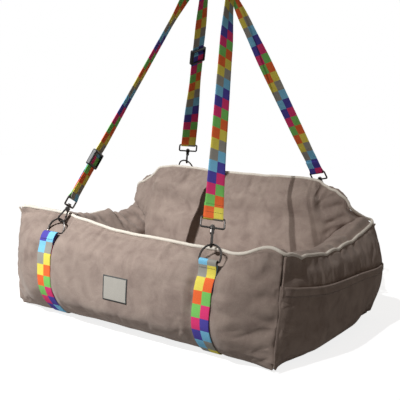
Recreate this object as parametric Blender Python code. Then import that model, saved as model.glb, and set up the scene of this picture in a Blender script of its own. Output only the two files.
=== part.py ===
"""Carry bed for a small dog: four stuffed walls, a lift-out seat cushion and two shoulder straps.

The bed is four cushions sewn into a ring round a flat base. Two bands of webbing run under it from
front to back, and each ends in a loop that holds a D-ring. Each shoulder strap clips to two of the
D-rings with swivel hooks, and hangs from the bars of those rings like the bail of a bucket.

Metres, +Z up. The front faces -Y, +X is to the right of someone who looks at the front, and the
origin is on the floor under the middle of the base.
"""

import math

import bmesh
import bpy
from mathutils import Matrix, Vector

# Outline of the bed, measured on the seams of its cover
HALF_WIDTH = 0.325
FRONT_Y = -0.235
REAR_Y = 0.250
SEAM_GAP = 0.0003

# Stuffed walls
FOOT_LIFT = 0.010
FRONT_DEPTH = 0.080
FRONT_BELLY = 0.049
SIDE_DEPTH = 0.080
SIDE_BELLY = 0.031
PILLOW_ROUND = 0.72
CORNER_TOP = 0.231

# Top seams as (place along the seam, height): stuffing and straps pull them out of level
FRONT_SEAM = (
    (-0.325, 0.2335), (-0.255, 0.2315), (-0.197, 0.2285), (-0.135, 0.2230), (-0.060, 0.2130),
    (0.0, 0.2095), (0.080, 0.2090), (0.150, 0.2085), (0.197, 0.2055), (0.235, 0.2045),
    (0.280, 0.2165), (0.325, 0.2215),
)
LEFT_SEAM = (
    (-0.235, 0.2335), (-0.160, 0.2140), (-0.080, 0.1980), (0.0, 0.1920), (0.080, 0.1920),
    (0.170, 0.2040), (0.250, 0.2308),
)
RIGHT_SEAM = (
    (-0.235, 0.2215), (-0.160, 0.2080), (-0.080, 0.1990), (0.0, 0.1980), (0.080, 0.2040),
    (0.170, 0.2160), (0.250, 0.2308),
)

# Backrest
BACK_HALF_WIDTH = 0.312
BACK_TOP = 0.329
BACK_SAG = 0.010
BACK_SHOULDER = 0.236
BACK_SEAM_Y = 0.176
BACK_FRONT_Y = 0.135
BACK_BELLY = 0.030
BACK_REAR_BELLY = 0.042

# Base and seat
BASE_HALF_WIDTH = 0.2435
BASE_FRONT_Y = -0.1535
BASE_REAR_Y = 0.1285
BASE_THICK = 0.018
SEAT_HALF_WIDTH = 0.238
SEAT_FRONT_Y = -0.149
SEAT_REAR_Y = 0.099
SEAT_EDGE = 0.030
SEAT_CROWN = 0.062

# Webbing
WEB_WIDTH = 0.038
WEB_THICK = 0.0016
WRAP_X = 0.197
WRAP_DENT = 0.006
SEAM_DENT = 0.013

# Trim
PIPING_RADIUS = 0.0035
CORNER_PIPING_RADIUS = 0.0022
LABEL_WIDTH = 0.060
LABEL_HEIGHT = 0.046
LABEL_Z = 0.104
POCKET_TOP = 0.140
POCKET_THICK = 0.0018
POCKET_MOUTH = 0.0068

# D-rings, on the bars that the shoulder straps turn on
WIRE = 0.0020
RING_ARC = 0.0225
RING_RISE = 0.009
FRONT_RING = Vector((0.0, -0.258, 0.189))
REAR_RING = Vector((0.0, 0.234, 0.308))
REAR_RIGHT_DROP = 0.049
REAR_RIGHT_OUT = 0.020

# Shoulder straps: lean of the loop from upright, splay of its legs, and the bend over the hand
FRONT_LEAN = math.radians(25.3)
REAR_LEAN = math.radians(-25.5)
FRONT_SPLAY = math.radians(13.42)
REAR_SPLAY = math.radians(19.35)
HAND_RADIUS = 0.042

# Swivel hooks, with heights from the middle of the ring's arc
CLAW_SEAT = RING_ARC - WIRE - 0.0006
CLAW_HALF = 0.0075
CLAW_WIRE = 0.0020
PIVOT = Vector((0.0, -0.0030, 0.0462))
COLLAR_LOW = 0.0525
COLLAR_HIGH = 0.0585
EYE_LOW = 0.0555
EYE_HIGH = 0.0745
EYE_HALF = 0.0228

# Strap sliders
SLIDER_HALF_WIDTH = 0.0235
SLIDER_HALF_HEIGHT = 0.0185
FRONT_SLIDER = 0.172
REAR_SLIDER = 0.336


# Small shared tools


def smoothstep(low, high, value):
    """Ease from 0 at low to 1 at high."""
    t = min(max((value - low) / (high - low), 0.0), 1.0)
    return t * t * (3.0 - 2.0 * t)


def mix(first, second, t):
    """Value a fraction t of the way from first to second."""
    return first + (second - first) * t


def through(knots, place):
    """Height at a place on a smooth line through the knots."""
    last = len(knots) - 1
    i = 0
    while i < last - 1 and place > knots[i + 1][0]:
        i += 1
    (x0, z0), (x1, z1) = knots[i], knots[i + 1]
    before = knots[i - 1] if i > 0 else (2 * x0 - x1, 2 * z0 - z1)
    after = knots[i + 2] if i + 2 <= last else (2 * x1 - x0, 2 * z1 - z0)
    rise0 = (z1 - before[1]) / (x1 - before[0]) * (x1 - x0)
    rise1 = (after[1] - z0) / (after[0] - x0) * (x1 - x0)
    t = (place - x0) / (x1 - x0)
    start = z0 * (2 * t**3 - 3 * t**2 + 1) + rise0 * (t**3 - 2 * t**2 + t)
    return start + z1 * (3 * t**2 - 2 * t**3) + rise1 * (t**3 - t**2)


def clear_scene():
    """Remove every object that the file opens with."""
    for obj in list(bpy.data.objects):
        bpy.data.objects.remove(obj, do_unlink=True)


def material(name, colour, roughness, metallic=0.0):
    """Plain Principled material."""
    made = bpy.data.materials.get(name)
    if made is None:
        made = bpy.data.materials.new(name)
        made.use_nodes = True
        shader = made.node_tree.nodes["Principled BSDF"]
        shader.inputs["Base Color"].default_value = (*colour, 1.0)
        shader.inputs["Roughness"].default_value = roughness
        shader.inputs["Metallic"].default_value = metallic
        made.diffuse_color = (*colour, 1.0)
    return made


def velour():
    """Taupe short-pile cover cloth."""
    return material("taupe_velour", (0.36, 0.31, 0.28), 0.95)


def piping_cloth():
    """Pale cord cover along the seams."""
    return material("pale_piping", (0.80, 0.76, 0.70), 0.90)


def webbing_cloth():
    """Printed strap webbing."""
    return material("printed_webbing", (0.32, 0.36, 0.55), 0.80)


def gunmetal():
    """Plated cast metal of the rings and hooks."""
    return material("gunmetal", (0.16, 0.16, 0.17), 0.28, 1.0)


def mesh_object(name, bm, skin, smooth=40.0):
    """Turn a bmesh into a shaded object whose faces point out."""
    bmesh.ops.recalc_face_normals(bm, faces=bm.faces)
    mesh = bpy.data.meshes.new(name)
    bm.to_mesh(mesh)
    bm.free()
    mesh.materials.append(skin)
    mesh.shade_smooth()
    mesh.set_sharp_from_angle(angle=math.radians(smooth))
    obj = bpy.data.objects.new(name, mesh)
    bpy.context.collection.objects.link(obj)
    return obj


def loft(sections, bm=None):
    """Skin a row of closed outlines that have equal point counts, and cap both ends."""
    bm = bmesh.new() if bm is None else bm
    rows = [[bm.verts.new(point) for point in section] for section in sections]
    for low, high in zip(rows, rows[1:]):
        for i in range(len(low)):
            j = (i + 1) % len(low)
            bm.faces.new((low[i], low[j], high[j], high[i]))
    bm.faces.new(rows[0])
    bm.faces.new(list(reversed(rows[-1])))
    return bm


def prism(outline, depth, axis):
    """Extrude a flat outline both ways from its plane, depth/2 each way along axis."""
    bm = bmesh.new()
    step = Vector(axis) * depth
    verts = [bm.verts.new(Vector(point) - step / 2) for point in outline]
    face = bm.faces.new(verts)
    made = bmesh.ops.extrude_face_region(bm, geom=[face])
    moved = [item for item in made["geom"] if isinstance(item, bmesh.types.BMVert)]
    bmesh.ops.translate(bm, vec=step, verts=moved)
    return bm


def tube(name, points, radius, skin, closed=False, resolution=2):
    """Round cord or wire along a row of points."""
    curve = bpy.data.curves.new(name, "CURVE")
    curve.dimensions = "3D"
    curve.resolution_u = 1
    curve.bevel_depth = radius
    curve.bevel_resolution = resolution
    curve.use_fill_caps = not closed
    spline = curve.splines.new("POLY")
    spline.points.add(len(points) - 1)
    for place, point in zip(spline.points, points):
        place.co = (*point, 1.0)
    spline.use_cyclic_u = closed
    spline.use_smooth = True
    curve.materials.append(skin)
    obj = bpy.data.objects.new(name, curve)
    bpy.context.collection.objects.link(obj)
    return obj


def empty(name, matrix, parent=None):
    """Joint marker that the moving pieces hang from, at matrix in its parent's frame."""
    obj = bpy.data.objects.new(name, None)
    obj.empty_display_size = 0.02
    bpy.context.collection.objects.link(obj)
    obj.parent = parent
    obj.matrix_local = matrix
    return obj


def cutter(name, bm, skin):
    """Guide solid for a Boolean, left out of the model."""
    obj = mesh_object(name, bm, skin)
    obj.hide_render = True
    obj.display_type = "WIRE"
    return obj


def boolean(obj, tool, operation):
    """Stack a Boolean modifier that uses tool."""
    step = obj.modifiers.new(tool.name, "BOOLEAN")
    step.operation = operation
    step.solver = "EXACT"
    step.object = tool
    return step


def bake(obj):
    """Mesh that the modifiers of obj make, as a new shared mesh."""
    graph = bpy.context.evaluated_depsgraph_get()
    graph.update()
    mesh = bpy.data.meshes.new_from_object(obj.evaluated_get(graph))
    mesh.name = obj.name
    return mesh


def remove(*objects):
    """Take guide objects out of the scene."""
    for obj in objects:
        bpy.data.objects.remove(obj, do_unlink=True)


# Stuffed walls. An outer panel and an inner panel meet in a ridge at the top.


def level_x(x):
    """Place across the bed, held level across the width of a band of webbing."""
    if abs(abs(x) - WRAP_X) < WEB_WIDTH / 2 + 0.0015:
        return math.copysign(WRAP_X, x)
    return x


def toward_corner(x, power):
    """How near a place across the bed is to its corner, from 0 in the middle to 1."""
    return abs(level_x(x) / HALF_WIDTH) ** power


def webbing_dent(x):
    """How far the tight webbing presses the wall in, from 0 to 1."""
    away = abs(abs(x) - WRAP_X)
    return 1.0 - smoothstep(WEB_WIDTH / 2 + 0.0015, WEB_WIDTH / 2 + 0.018, away)


def outer_panel(t, foot, ridge, belly, dent):
    """Point (out, up) a fraction t of the way up an outer panel."""
    swell = math.sin(math.pi * t)
    out = mix(foot[0], ridge[0], t) + belly * swell**PILLOW_ROUND - dent * swell**0.5
    return out, mix(foot[1], ridge[1], t)


def inner_panel(angle, depth, foot_z, ridge_z):
    """Point (out, up) on the rounded inner side, from the ridge at 0 to the foot at a right angle."""
    out = -depth * math.sin(angle) ** 0.70
    return out, mix(foot_z, ridge_z, max(math.cos(angle), 0.0) ** 0.70)


def front_foot(x):
    """Foot of the front wall (out, up): it comes out and droops at the corners."""
    end = toward_corner(x, 5)
    return mix(-0.034, -0.004, end), mix(FOOT_LIFT, 0.0004, end)


def front_ridge(x):
    """Height of the front wall's top seam."""
    return through(FRONT_SEAM, level_x(x))


def front_seam_y(x):
    """Depth of the front wall's top seam, which the strap hooks press inward."""
    away = abs(abs(level_x(x)) - WRAP_X)
    return FRONT_Y + SEAM_DENT * (1.0 - smoothstep(0.0, 0.055, away))


def front_outer(x, t):
    """Point (y, z) on the outer panel of the front wall."""
    belly = FRONT_BELLY * (1.0 - toward_corner(x, 6))
    dent = WRAP_DENT * webbing_dent(x)
    seam = FRONT_Y - front_seam_y(x)
    out, up = outer_panel(t, front_foot(x), (seam, front_ridge(x)), belly, dent)
    return FRONT_Y - out, up


def side_ridge(y, side):
    """Height of a side wall's top seam."""
    return through(LEFT_SEAM if side < 0.0 else RIGHT_SEAM, y)


def side_foot(y):
    """Foot of a side wall (out, up)."""
    middle = (FRONT_Y + REAR_Y) / 2
    end = abs((y - middle) / (REAR_Y - middle)) ** 5
    return mix(-0.026, -0.004, end), mix(FOOT_LIFT, 0.0004, end)


def side_outer(y, side, t):
    """Point (out from the seam, z) on the outer panel of a side wall."""
    middle = (FRONT_Y + REAR_Y) / 2
    end = abs((y - middle) / (REAR_Y - middle)) ** 4
    belly = SIDE_BELLY * (1.0 - end)
    return outer_panel(t, side_foot(y), (0.0, side_ridge(y, side)), belly, 0.0)


def panel_steps(count):
    """Fractions up a panel, closer together at its two seams."""
    return [(1.0 - math.cos(math.pi * i / count)) / 2 for i in range(count + 1)]


def inner_angles(count):
    """Angles round the inner side, leaving out the ridge."""
    return [math.pi / 2 * i / count for i in range(1, count + 1)]


def mitre_depth(out_gap):
    """Depth that a wall has room for at a distance from its corner seam."""
    return -(out_gap - SEAM_GAP)


def front_stations():
    """Places along the front wall where its section is drawn."""
    edge = WEB_WIDTH / 2 + 0.0015
    right = [0.0, 0.045, 0.09, 0.13, 0.160]
    right += [WRAP_X - edge - 0.0165, WRAP_X - edge - 0.008, WRAP_X - edge, WRAP_X + edge]
    right += [WRAP_X + edge + 0.008, WRAP_X + edge + 0.0165]
    right += [0.252, 0.270, 0.288, 0.302, 0.313, 0.3205]
    right = sorted(set(right))
    return [-x for x in reversed(right[1:])] + right


def front_wall():
    """Front cushion, mitred to the side cushions at its ends."""
    sections = []
    for x in front_stations():
        room = mitre_depth(HALF_WIDTH - abs(x))
        foot = front_foot(x)
        points = []
        for t in panel_steps(9):
            y, up = front_outer(x, t)
            points.append((x, min(y, FRONT_Y - room), up))
        for angle in inner_angles(7):
            out, up = inner_panel(angle, FRONT_DEPTH, foot[1], front_ridge(x))
            out += (FRONT_Y - front_seam_y(x)) * (1.0 + out / FRONT_DEPTH)
            points.append((x, FRONT_Y - max(out, room), up))
        sections.append(points)
    return mesh_object("front_bolster", loft(sections), velour())


def side_stations():
    """Places along a side wall where its section is drawn."""
    ends = [0.0045, 0.013, 0.024, 0.037, 0.053, 0.0795, 0.108, 0.145, 0.19]
    front = [FRONT_Y + gap for gap in ends]
    rear = [REAR_Y - gap for gap in ends]
    return sorted(front + rear + [(FRONT_Y + REAR_Y) / 2])


def side_wall(name, side):
    """Left (-1) or right (1) cushion, mitred to the front wall and to the backrest."""
    sections = []
    for y in side_stations():
        room = max(mitre_depth(y - FRONT_Y), mitre_depth(REAR_Y - y))
        foot = side_foot(y)
        points = []
        for t in panel_steps(8):
            out, up = side_outer(y, side, t)
            points.append((side * (HALF_WIDTH + max(out, room)), y, up))
        for angle in inner_angles(7):
            out, up = inner_panel(angle, SIDE_DEPTH, foot[1], side_ridge(y, side))
            points.append((side * (HALF_WIDTH + max(out, room)), y, up))
        sections.append(points)
    return mesh_object(name, loft(sections), velour())


# Backrest


def back_top(x):
    """Height of the backrest's top seam."""
    reach = abs(x)
    if reach >= BACK_HALF_WIDTH:
        return mix(BACK_SHOULDER, CORNER_TOP + 0.0008, smoothstep(BACK_HALF_WIDTH, 0.3205, reach))
    arch = (1.0 - (reach / BACK_HALF_WIDTH) ** 3.5) ** (1.0 / 3.5)
    sag = BACK_SAG * max(1.0 - (level_x(x) / 0.19) ** 2, 0.0)
    return mix(BACK_SHOULDER, BACK_TOP - sag, arch)


def back_seam_y(x):
    """Depth of the backrest's top seam, which runs out to the rear corners."""
    return mix(BACK_SEAM_Y, REAR_Y - 0.003, smoothstep(0.292, 0.3205, abs(x)))


def side_cover(x):
    """Height of the side wall's top at a distance x from the middle, with clearance."""
    inward = min(max((HALF_WIDTH - abs(x)) / SIDE_DEPTH, 0.0), 1.0)
    rise = (1.0 - inward ** (2.0 / 0.70)) ** (0.70 / 2.0)
    return mix(FOOT_LIFT, CORNER_TOP, rise) + 0.0016


def back_rear(x, t):
    """Point (y, z) on the rear panel of the backrest."""
    end = toward_corner(x, 6)
    foot_y = REAR_Y - mix(0.030, 0.002, end)
    foot_z = mix(FOOT_LIFT, 0.0004, toward_corner(x, 5))
    top_y = back_seam_y(x)
    swell = math.sin(math.pi * t)
    y = mix(foot_y, top_y, t**2.2) + BACK_REAR_BELLY * (1.0 - end) * swell**0.8
    y -= 0.004 * webbing_dent(x) * swell**0.5
    return y, mix(foot_z, back_top(x), t)


def back_stations():
    """Places across the backrest where its section is drawn."""
    edge = WEB_WIDTH / 2 + 0.0015
    right = [0.0, 0.05, 0.10, 0.14, WRAP_X - edge - 0.0165, WRAP_X - edge, WRAP_X + edge]
    right += [WRAP_X + edge + 0.012]
    right += [HALF_WIDTH + inner_panel(a, SIDE_DEPTH, 0.0, 1.0)[0] for a in inner_angles(7)]
    right += [0.302, 0.3085, BACK_HALF_WIDTH, 0.3205]
    right = sorted(x for x in set(round(x, 5) for x in right))
    kept = []
    for x in right:
        if not kept or x - kept[-1] > 0.0009:
            kept.append(x)
    return [-x for x in reversed(kept[1:])] + kept


def back_front(x, room_y, foot, shelf, t):
    """Point (y, z) on the front panel of the backrest, from the top seam down to the shelf."""
    top_y = back_seam_y(x)
    top_z = back_top(x)
    shoulder = (abs(x) / BACK_HALF_WIDTH) ** 5
    face_y = mix(BACK_FRONT_Y, top_y, min(shoulder, 1.0))
    crown = BACK_BELLY * max(1.0 - shoulder, 0.0)
    z = mix(top_z, shelf, t)
    down = (top_z - z) / (top_z - foot)
    swell = math.sin(math.pi * down)
    y = mix(top_y, face_y, smoothstep(0.0, 0.6, down)) - crown * swell**0.8
    return min(y, room_y), z


def backrest():
    """Tall rear cushion, whose shoulders rest on the side walls."""
    sections = []
    for x in back_stations():
        mitre_y = REAR_Y - (HALF_WIDTH - abs(x)) + SEAM_GAP
        rear = [back_rear(x, t) for t in panel_steps(10)]
        rear = [(max(y, mitre_y + 0.0012), z) for y, z in rear]
        foot_z = rear[0][1]
        shelf = foot_z
        wall_y = BACK_FRONT_Y
        if abs(x) > HALF_WIDTH - SIDE_DEPTH - 0.0005:
            shelf = min(side_cover(x), back_top(x) - 0.0006)
            wall_y = mitre_y
        wall_y = min(wall_y, rear[0][0] - 0.001)
        front = [back_front(x, wall_y, foot_z, shelf, t / 7) for t in range(1, 8)]
        points = rear + front
        points.append((wall_y, shelf))
        points.append((wall_y, foot_z))
        sections.append([(x, y, z) for y, z in points])
    bm = loft(sections)
    bmesh.ops.remove_doubles(bm, verts=bm.verts, dist=0.00002)
    return mesh_object("backrest", bm, velour())


# Base and seat


def wrap_path(side):
    """Middle line (y, z) of a band of webbing, from the front D-ring under the bed to the rear one."""
    x = side * WRAP_X
    lift = SEAM_GAP + WEB_THICK / 2 + 0.0004
    heights = [0.016, 0.024, 0.036, 0.052, 0.072, 0.094, 0.117]
    foot = front_foot(x)[1]
    front_heights = heights + [0.136, 0.151, 0.165]
    rear_heights = heights + [0.140, 0.160, 0.178, 0.196]
    front = [front_outer(x, (z - foot) / (front_ridge(x) - foot)) for z in front_heights]
    rear = [back_rear(x, (z - foot) / (back_top(x) - foot)) for z in rear_heights]
    down = offset_line(list(reversed(front)), lift)
    up = offset_line(rear, lift)
    low = WEB_THICK / 2 + 0.0004
    shelf = foot - lift
    under = [(down[-1][0] + 0.009, shelf), (-0.172, shelf), (-0.153, 0.0045), (-0.136, low)]
    under += [(-0.06, low), (0.05, low), (0.111, low), (0.128, 0.0045), (0.147, shelf)]
    under += [(up[0][0] - 0.0045, shelf)]
    return down + under + up


def offset_line(points, distance):
    """Move a line of (y, z) points to its right by distance."""
    moved = []
    for i, point in enumerate(points):
        before = Vector(points[max(i - 1, 0)])
        after = Vector(points[min(i + 1, len(points) - 1)])
        along = (after - before).normalized()
        moved.append((point[0] + along.y * distance, point[1] - along.x * distance))
    return moved


def ring_loop(ring, outward):
    """Loop of webbing round a D-ring's bar, as (y, z) points from the outer layer to the inner."""
    radius = WIRE + 0.0004 + WEB_THICK / 2
    points = []
    for i in range(7):
        angle = math.pi * i / 6
        y = ring.y + outward * radius * math.cos(angle)
        points.append((y, ring.z + radius * math.sin(angle)))
    return points


def wrap(name, side):
    """One band of webbing with a D-ring loop at each end."""
    path = wrap_path(side)
    bar = ring_bar("rear", side)
    hinge = ring_bar("rear", 1.0) - ring_bar("rear", -1.0)
    front_tail = [p for p in path[:6] if p[1] > 0.135]
    rear_tail = [p for p in path[-6:] if p[1] > 0.159]
    shift = WEB_THICK + 0.0003
    outer = [spread_outer(p, shift) for p in path]
    line = [(p[0] - 0.0003, p[1]) for p in reversed(front_tail)]
    line += list(reversed(ring_loop(FRONT_RING, -1.0))) + outer
    line += ring_loop(bar, 1.0)
    line += [(p[0] + 0.0003, p[1]) for p in reversed(rear_tail)]
    sections = ribbon_sections(line, side * WRAP_X)
    for section in sections:
        for i, (x, y, z) in enumerate(section):
            rise = smoothstep(0.14, bar.z, z) if y > 0.0 else 0.0
            lean = (bar.x - side * WRAP_X) * max(z - 0.14, 0.0) / (bar.z - 0.14)
            slant = (x - side * WRAP_X) / hinge.x * rise
            section[i] = (x + lean * (y > 0.0), y + hinge.y * slant, z + hinge.z * slant)
    return mesh_object(name, loft(sections), webbing_cloth())


def spread_outer(point, shift):
    """Move the outer layer of webbing out where the folded end lies under it."""
    y, z = point
    if y < 0.0:
        return y - shift * smoothstep(0.115, 0.136, z), z
    return y + shift * smoothstep(0.138, 0.160, z), z


def ribbon_sections(line, x):
    """Rectangular sections of a band of webbing that stays in a plane across X."""
    sections = []
    half_w = WEB_WIDTH / 2
    half_t = WEB_THICK / 2
    for i, point in enumerate(line):
        before = Vector(line[max(i - 1, 0)])
        after = Vector(line[min(i + 1, len(line) - 1)])
        along = (after - before).normalized()
        n = Vector((-along.y, along.x)) * half_t
        y, z = point
        sections.append([
            (x - half_w, y + n.x, z + n.y),
            (x + half_w, y + n.x, z + n.y),
            (x + half_w, y - n.x, z - n.y),
            (x - half_w, y - n.x, z - n.y),
        ])
    return sections


def base_panel():
    """Flat stiffened base, with a groove for each band of webbing."""
    bm = bmesh.new()
    bmesh.ops.create_cube(bm, size=1.0)
    size = (2 * BASE_HALF_WIDTH, BASE_REAR_Y - BASE_FRONT_Y, BASE_THICK)
    bmesh.ops.scale(bm, vec=size, verts=bm.verts)
    middle = (0.0, (BASE_REAR_Y + BASE_FRONT_Y) / 2, BASE_THICK / 2)
    bmesh.ops.translate(bm, vec=middle, verts=bm.verts)
    low = [e for e in bm.edges if all(v.co.z < 0.001 for v in e.verts)]
    bmesh.ops.bevel(
        bm, geom=low, offset=0.009, segments=3, profile=0.5, affect="EDGES", material=-1
    )
    obj = mesh_object("base_panel", bm, material("base_cloth", (0.10, 0.095, 0.09), 0.92))
    guides = []
    for side in (-1.0, 1.0):
        path = [p for p in wrap_path(side) if p[1] < 0.030 and -0.1725 < p[0] < 0.152]
        roof = [(y, z + WEB_THICK / 2 + 0.0005) for y, z in path]
        outline = [(side * WRAP_X, y, z) for y, z in roof]
        outline += [(side * WRAP_X, roof[-1][0], -0.01), (side * WRAP_X, roof[0][0], -0.01)]
        bm = prism(outline, WEB_WIDTH + 0.0012, (1.0, 0.0, 0.0))
        guides.append(cutter(f"webbing_groove_{len(guides)}", bm, webbing_cloth()))
    for guide in guides:
        boolean(obj, guide, "DIFFERENCE")
    return obj


def seat_cushion():
    """Loose pad that lifts out: crowned top and bottom edge seam, corners drawn in."""
    bm = bmesh.new()
    columns, rows = 14, 10
    bottom = BASE_THICK + 0.0006
    half_depth = (SEAT_REAR_Y - SEAT_FRONT_Y) / 2
    middle_y = (SEAT_REAR_Y + SEAT_FRONT_Y) / 2
    bmesh.ops.create_cube(bm, size=2.0)
    upright = [e for e in bm.edges if abs(e.verts[0].co.z - e.verts[1].co.z) > 1.0]
    flat_x = [e for e in bm.edges if abs(e.verts[0].co.x - e.verts[1].co.x) > 1.0]
    bmesh.ops.subdivide_edges(bm, edges=flat_x, cuts=columns, use_grid_fill=True)
    flat_y = [e for e in bm.edges if abs(e.verts[0].co.y - e.verts[1].co.y) > 1.0]
    bmesh.ops.subdivide_edges(bm, edges=flat_y, cuts=rows, use_grid_fill=True)
    upright = [e for e in bm.edges if abs(e.verts[0].co.z - e.verts[1].co.z) > 1.0]
    bmesh.ops.subdivide_edges(bm, edges=upright, cuts=2, use_grid_fill=True)
    for vert in bm.verts:
        u, v, w = vert.co
        edge = (1.0 - abs(u) ** 4) * (1.0 - abs(v) ** 4)
        draw = 1.0 - 0.018 * (abs(u) * abs(v)) ** 6
        side = 1.0 - 0.03 * w * w * max(abs(u), abs(v)) ** 8
        height = mix(SEAT_EDGE, SEAT_CROWN, edge**0.7)
        x = SEAT_HALF_WIDTH * spread(u) * draw * side
        y = middle_y + half_depth * spread(v) * draw * side
        vert.co = (x, y, bottom + (w + 1.0) / 2 * height)
    return mesh_object("seat_cushion", bm, velour())


def spread(value):
    """Move evenly spaced grid lines toward the edges of the pad."""
    return math.copysign(math.sin(abs(value) * math.pi / 2) ** 0.9, value)


# Pocket, label and piping


def pocket_edge(y):
    """Height of the pocket's hem."""
    return POCKET_TOP + 0.006 * smoothstep(-0.08, FRONT_Y, y) - 0.004 * smoothstep(0.0, REAR_Y, y)


def pocket():
    """Flat pocket on the right wall, sewn at its sides and foot, with a thicker hem."""
    sections = []
    rows = 9
    for y in [-0.222, -0.205, -0.175, -0.135, -0.085, -0.03, 0.03, 0.085, 0.135, 0.18, 0.213, 0.235]:
        inner = []
        outer = []
        side = min(smoothstep(-0.222, -0.135, y), smoothstep(0.235, 0.15, y))
        for i in range(rows):
            up = mix(0.030, pocket_edge(y), i / (rows - 1))
            out, normal = side_surface(y, up)
            gap = 0.0008 + (POCKET_MOUTH - 0.0008) * side * smoothstep(0.40, 1.0, i / (rows - 1))
            thick = POCKET_THICK + 0.0022 * smoothstep(0.84, 0.90, i / (rows - 1))
            inner.append((HALF_WIDTH + out + normal.x * gap, y, up + normal.y * gap))
            reach = gap + thick
            outer.append((HALF_WIDTH + out + normal.x * reach, y, up + normal.y * reach))
        sections.append(inner + list(reversed(outer)))
    return mesh_object("side_pocket", loft(sections), velour())


def side_surface(y, up):
    """Outer panel of the right wall at a height: distance out, and the direction (out, up) it faces."""
    foot = side_foot(y)
    t = (up - foot[1]) / (side_ridge(y, 1.0) - foot[1])
    out = side_outer(y, 1.0, t)[0]
    ahead = side_outer(y, 1.0, min(t + 0.01, 1.0))
    behind = side_outer(y, 1.0, max(t - 0.01, 0.0))
    normal = Vector((ahead[1] - behind[1], behind[0] - ahead[0])).normalized()
    return out, normal


def front_surface(x, up):
    """Outer panel of the front wall at a height: y, and the direction (y, z) it faces."""
    foot = front_foot(x)
    t = (up - foot[1]) / (front_ridge(x) - foot[1])
    y = front_outer(x, t)[0]
    ahead = front_outer(x, min(t + 0.01, 1.0))
    behind = front_outer(x, max(t - 0.01, 0.0))
    normal = Vector((behind[1] - ahead[1], ahead[0] - behind[0])).normalized()
    return y, normal


def label():
    """Bare woven patch sewn to the front, bent to the wall."""
    sections = []
    for i in range(7):
        x = mix(-LABEL_WIDTH / 2, LABEL_WIDTH / 2, i / 6)
        inner = []
        outer = []
        for j in range(6):
            up = LABEL_Z + mix(-LABEL_HEIGHT / 2, LABEL_HEIGHT / 2, j / 5)
            y, normal = front_surface(x, up)
            inner.append((x, y + normal.x * 0.0008, up + normal.y * 0.0008))
            outer.append((x, y + normal.x * 0.0020, up + normal.y * 0.0020))
        sections.append(inner + list(reversed(outer)))
    skin = material("label_weave", (0.55, 0.54, 0.50), 0.85)
    return mesh_object("label_patch", loft(sections), skin)


def back_rim():
    """Top seam of the backrest from its left corner to its right, moved out by the piping's radius."""
    seam = [(x, back_seam_y(x), back_top(x)) for x in back_stations()]
    reach = PIPING_RADIUS + 0.0008
    rim = []
    for i, point in enumerate(seam):
        before = Vector(seam[max(i - 1, 0)])
        after = Vector(seam[min(i + 1, len(seam) - 1)])
        along = (after - before)
        out = Vector((-along.z, 0.0, along.x)).normalized()
        if abs(point[0]) > BACK_HALF_WIDTH + 0.001:
            out = Vector((0.0, 0.0, 1.0))
        shoulder = 0.0008 * (abs(point[0]) > BACK_HALF_WIDTH - 0.001)
        rim.append(Vector(point) + out * (reach + shoulder))
    return rim


def rim_piping():
    """Pale piping round the whole top seam, in one closed line."""
    reach = PIPING_RADIUS + 0.0008
    front = [Vector((x, front_seam_y(x), front_ridge(x) + reach)) for x in front_stations()]
    left = [Vector((-HALF_WIDTH, y, side_ridge(y, -1.0) + reach)) for y in side_stations()]
    right = [Vector((HALF_WIDTH, y, side_ridge(y, 1.0) + reach)) for y in side_stations()]
    line = front[1:-1] + right[1:-1] + list(reversed(back_rim())) + list(reversed(left[1:-1]))
    return tube("rim_piping", line, PIPING_RADIUS, piping_cloth(), closed=True, resolution=1)


def corner_piping(name, side, y_seam, forward):
    """Thin piping down an upright corner seam."""
    reach = CORNER_PIPING_RADIUS + 0.0003
    top = side_ridge(y_seam, side)
    points = []
    for i in range(8):
        z = mix(0.0105, top - 0.012, i / 7)
        bow = 0.0015 * math.sin(math.pi * i / 7)
        offset = reach * 0.7072 + bow - 0.0032
        points.append(Vector((side * (HALF_WIDTH + offset), y_seam + forward * offset, z)))
    return tube(name, points, CORNER_PIPING_RADIUS, piping_cloth(), resolution=1)


# Hardware


def ring_path():
    """Middle line of a D-ring's wire, in the plane of its strap, with its bar through the origin."""
    points = []
    corner = 0.003
    for i in range(3):
        angle = math.radians(45.0 * i - 90.0)
        x = RING_ARC - corner + corner * math.cos(angle)
        points.append(Vector((x, 0.0, corner + corner * math.sin(angle))))
    for i in range(13):
        angle = math.pi * i / 12
        points.append(Vector((RING_ARC * math.cos(angle), 0.0, RING_RISE + RING_ARC * math.sin(angle))))
    mirrored = [Vector((-p.x, p.y, p.z)) for p in reversed(points[:3])]
    return points + mirrored


def ring_mesh():
    """D-ring with its bar through the origin, as one shared mesh."""
    wire = tube("d_ring_wire", ring_path(), WIRE, gunmetal(), closed=True, resolution=2)
    made = bake(wire)
    made.name = "d_ring"
    remove(wire)
    return made


def swept_bar(path, half_x, half_t, sides=8, scale_ends=1.0):
    """Oval bar along a path in the YZ plane, half_x wide across it."""
    sections = []
    for i, point in enumerate(path):
        before = path[max(i - 1, 0)]
        after = path[min(i + 1, len(path) - 1)]
        along = (after - before).normalized()
        n = Vector((0.0, -along.z, along.y))
        size = scale_ends if i in (0, len(path) - 1) else 1.0
        ringed = []
        for k in range(sides):
            angle = 2 * math.pi * (k + 0.5) / sides
            across = Vector((half_x * math.cos(angle) * size, 0.0, 0.0))
            ringed.append(point + across + n * (half_t * math.sin(angle) * size))
        sections.append(ringed)
    return loft(sections)


def cylinder(radius, low, high, sides=12):
    """Upright round bar as a bmesh."""
    bm = bmesh.new()
    bmesh.ops.create_cone(
        bm, cap_ends=True, segments=sides, radius1=radius, radius2=radius, depth=high - low
    )
    bmesh.ops.translate(bm, vec=(0.0, 0.0, (low + high) / 2), verts=bm.verts)
    return bm


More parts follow.
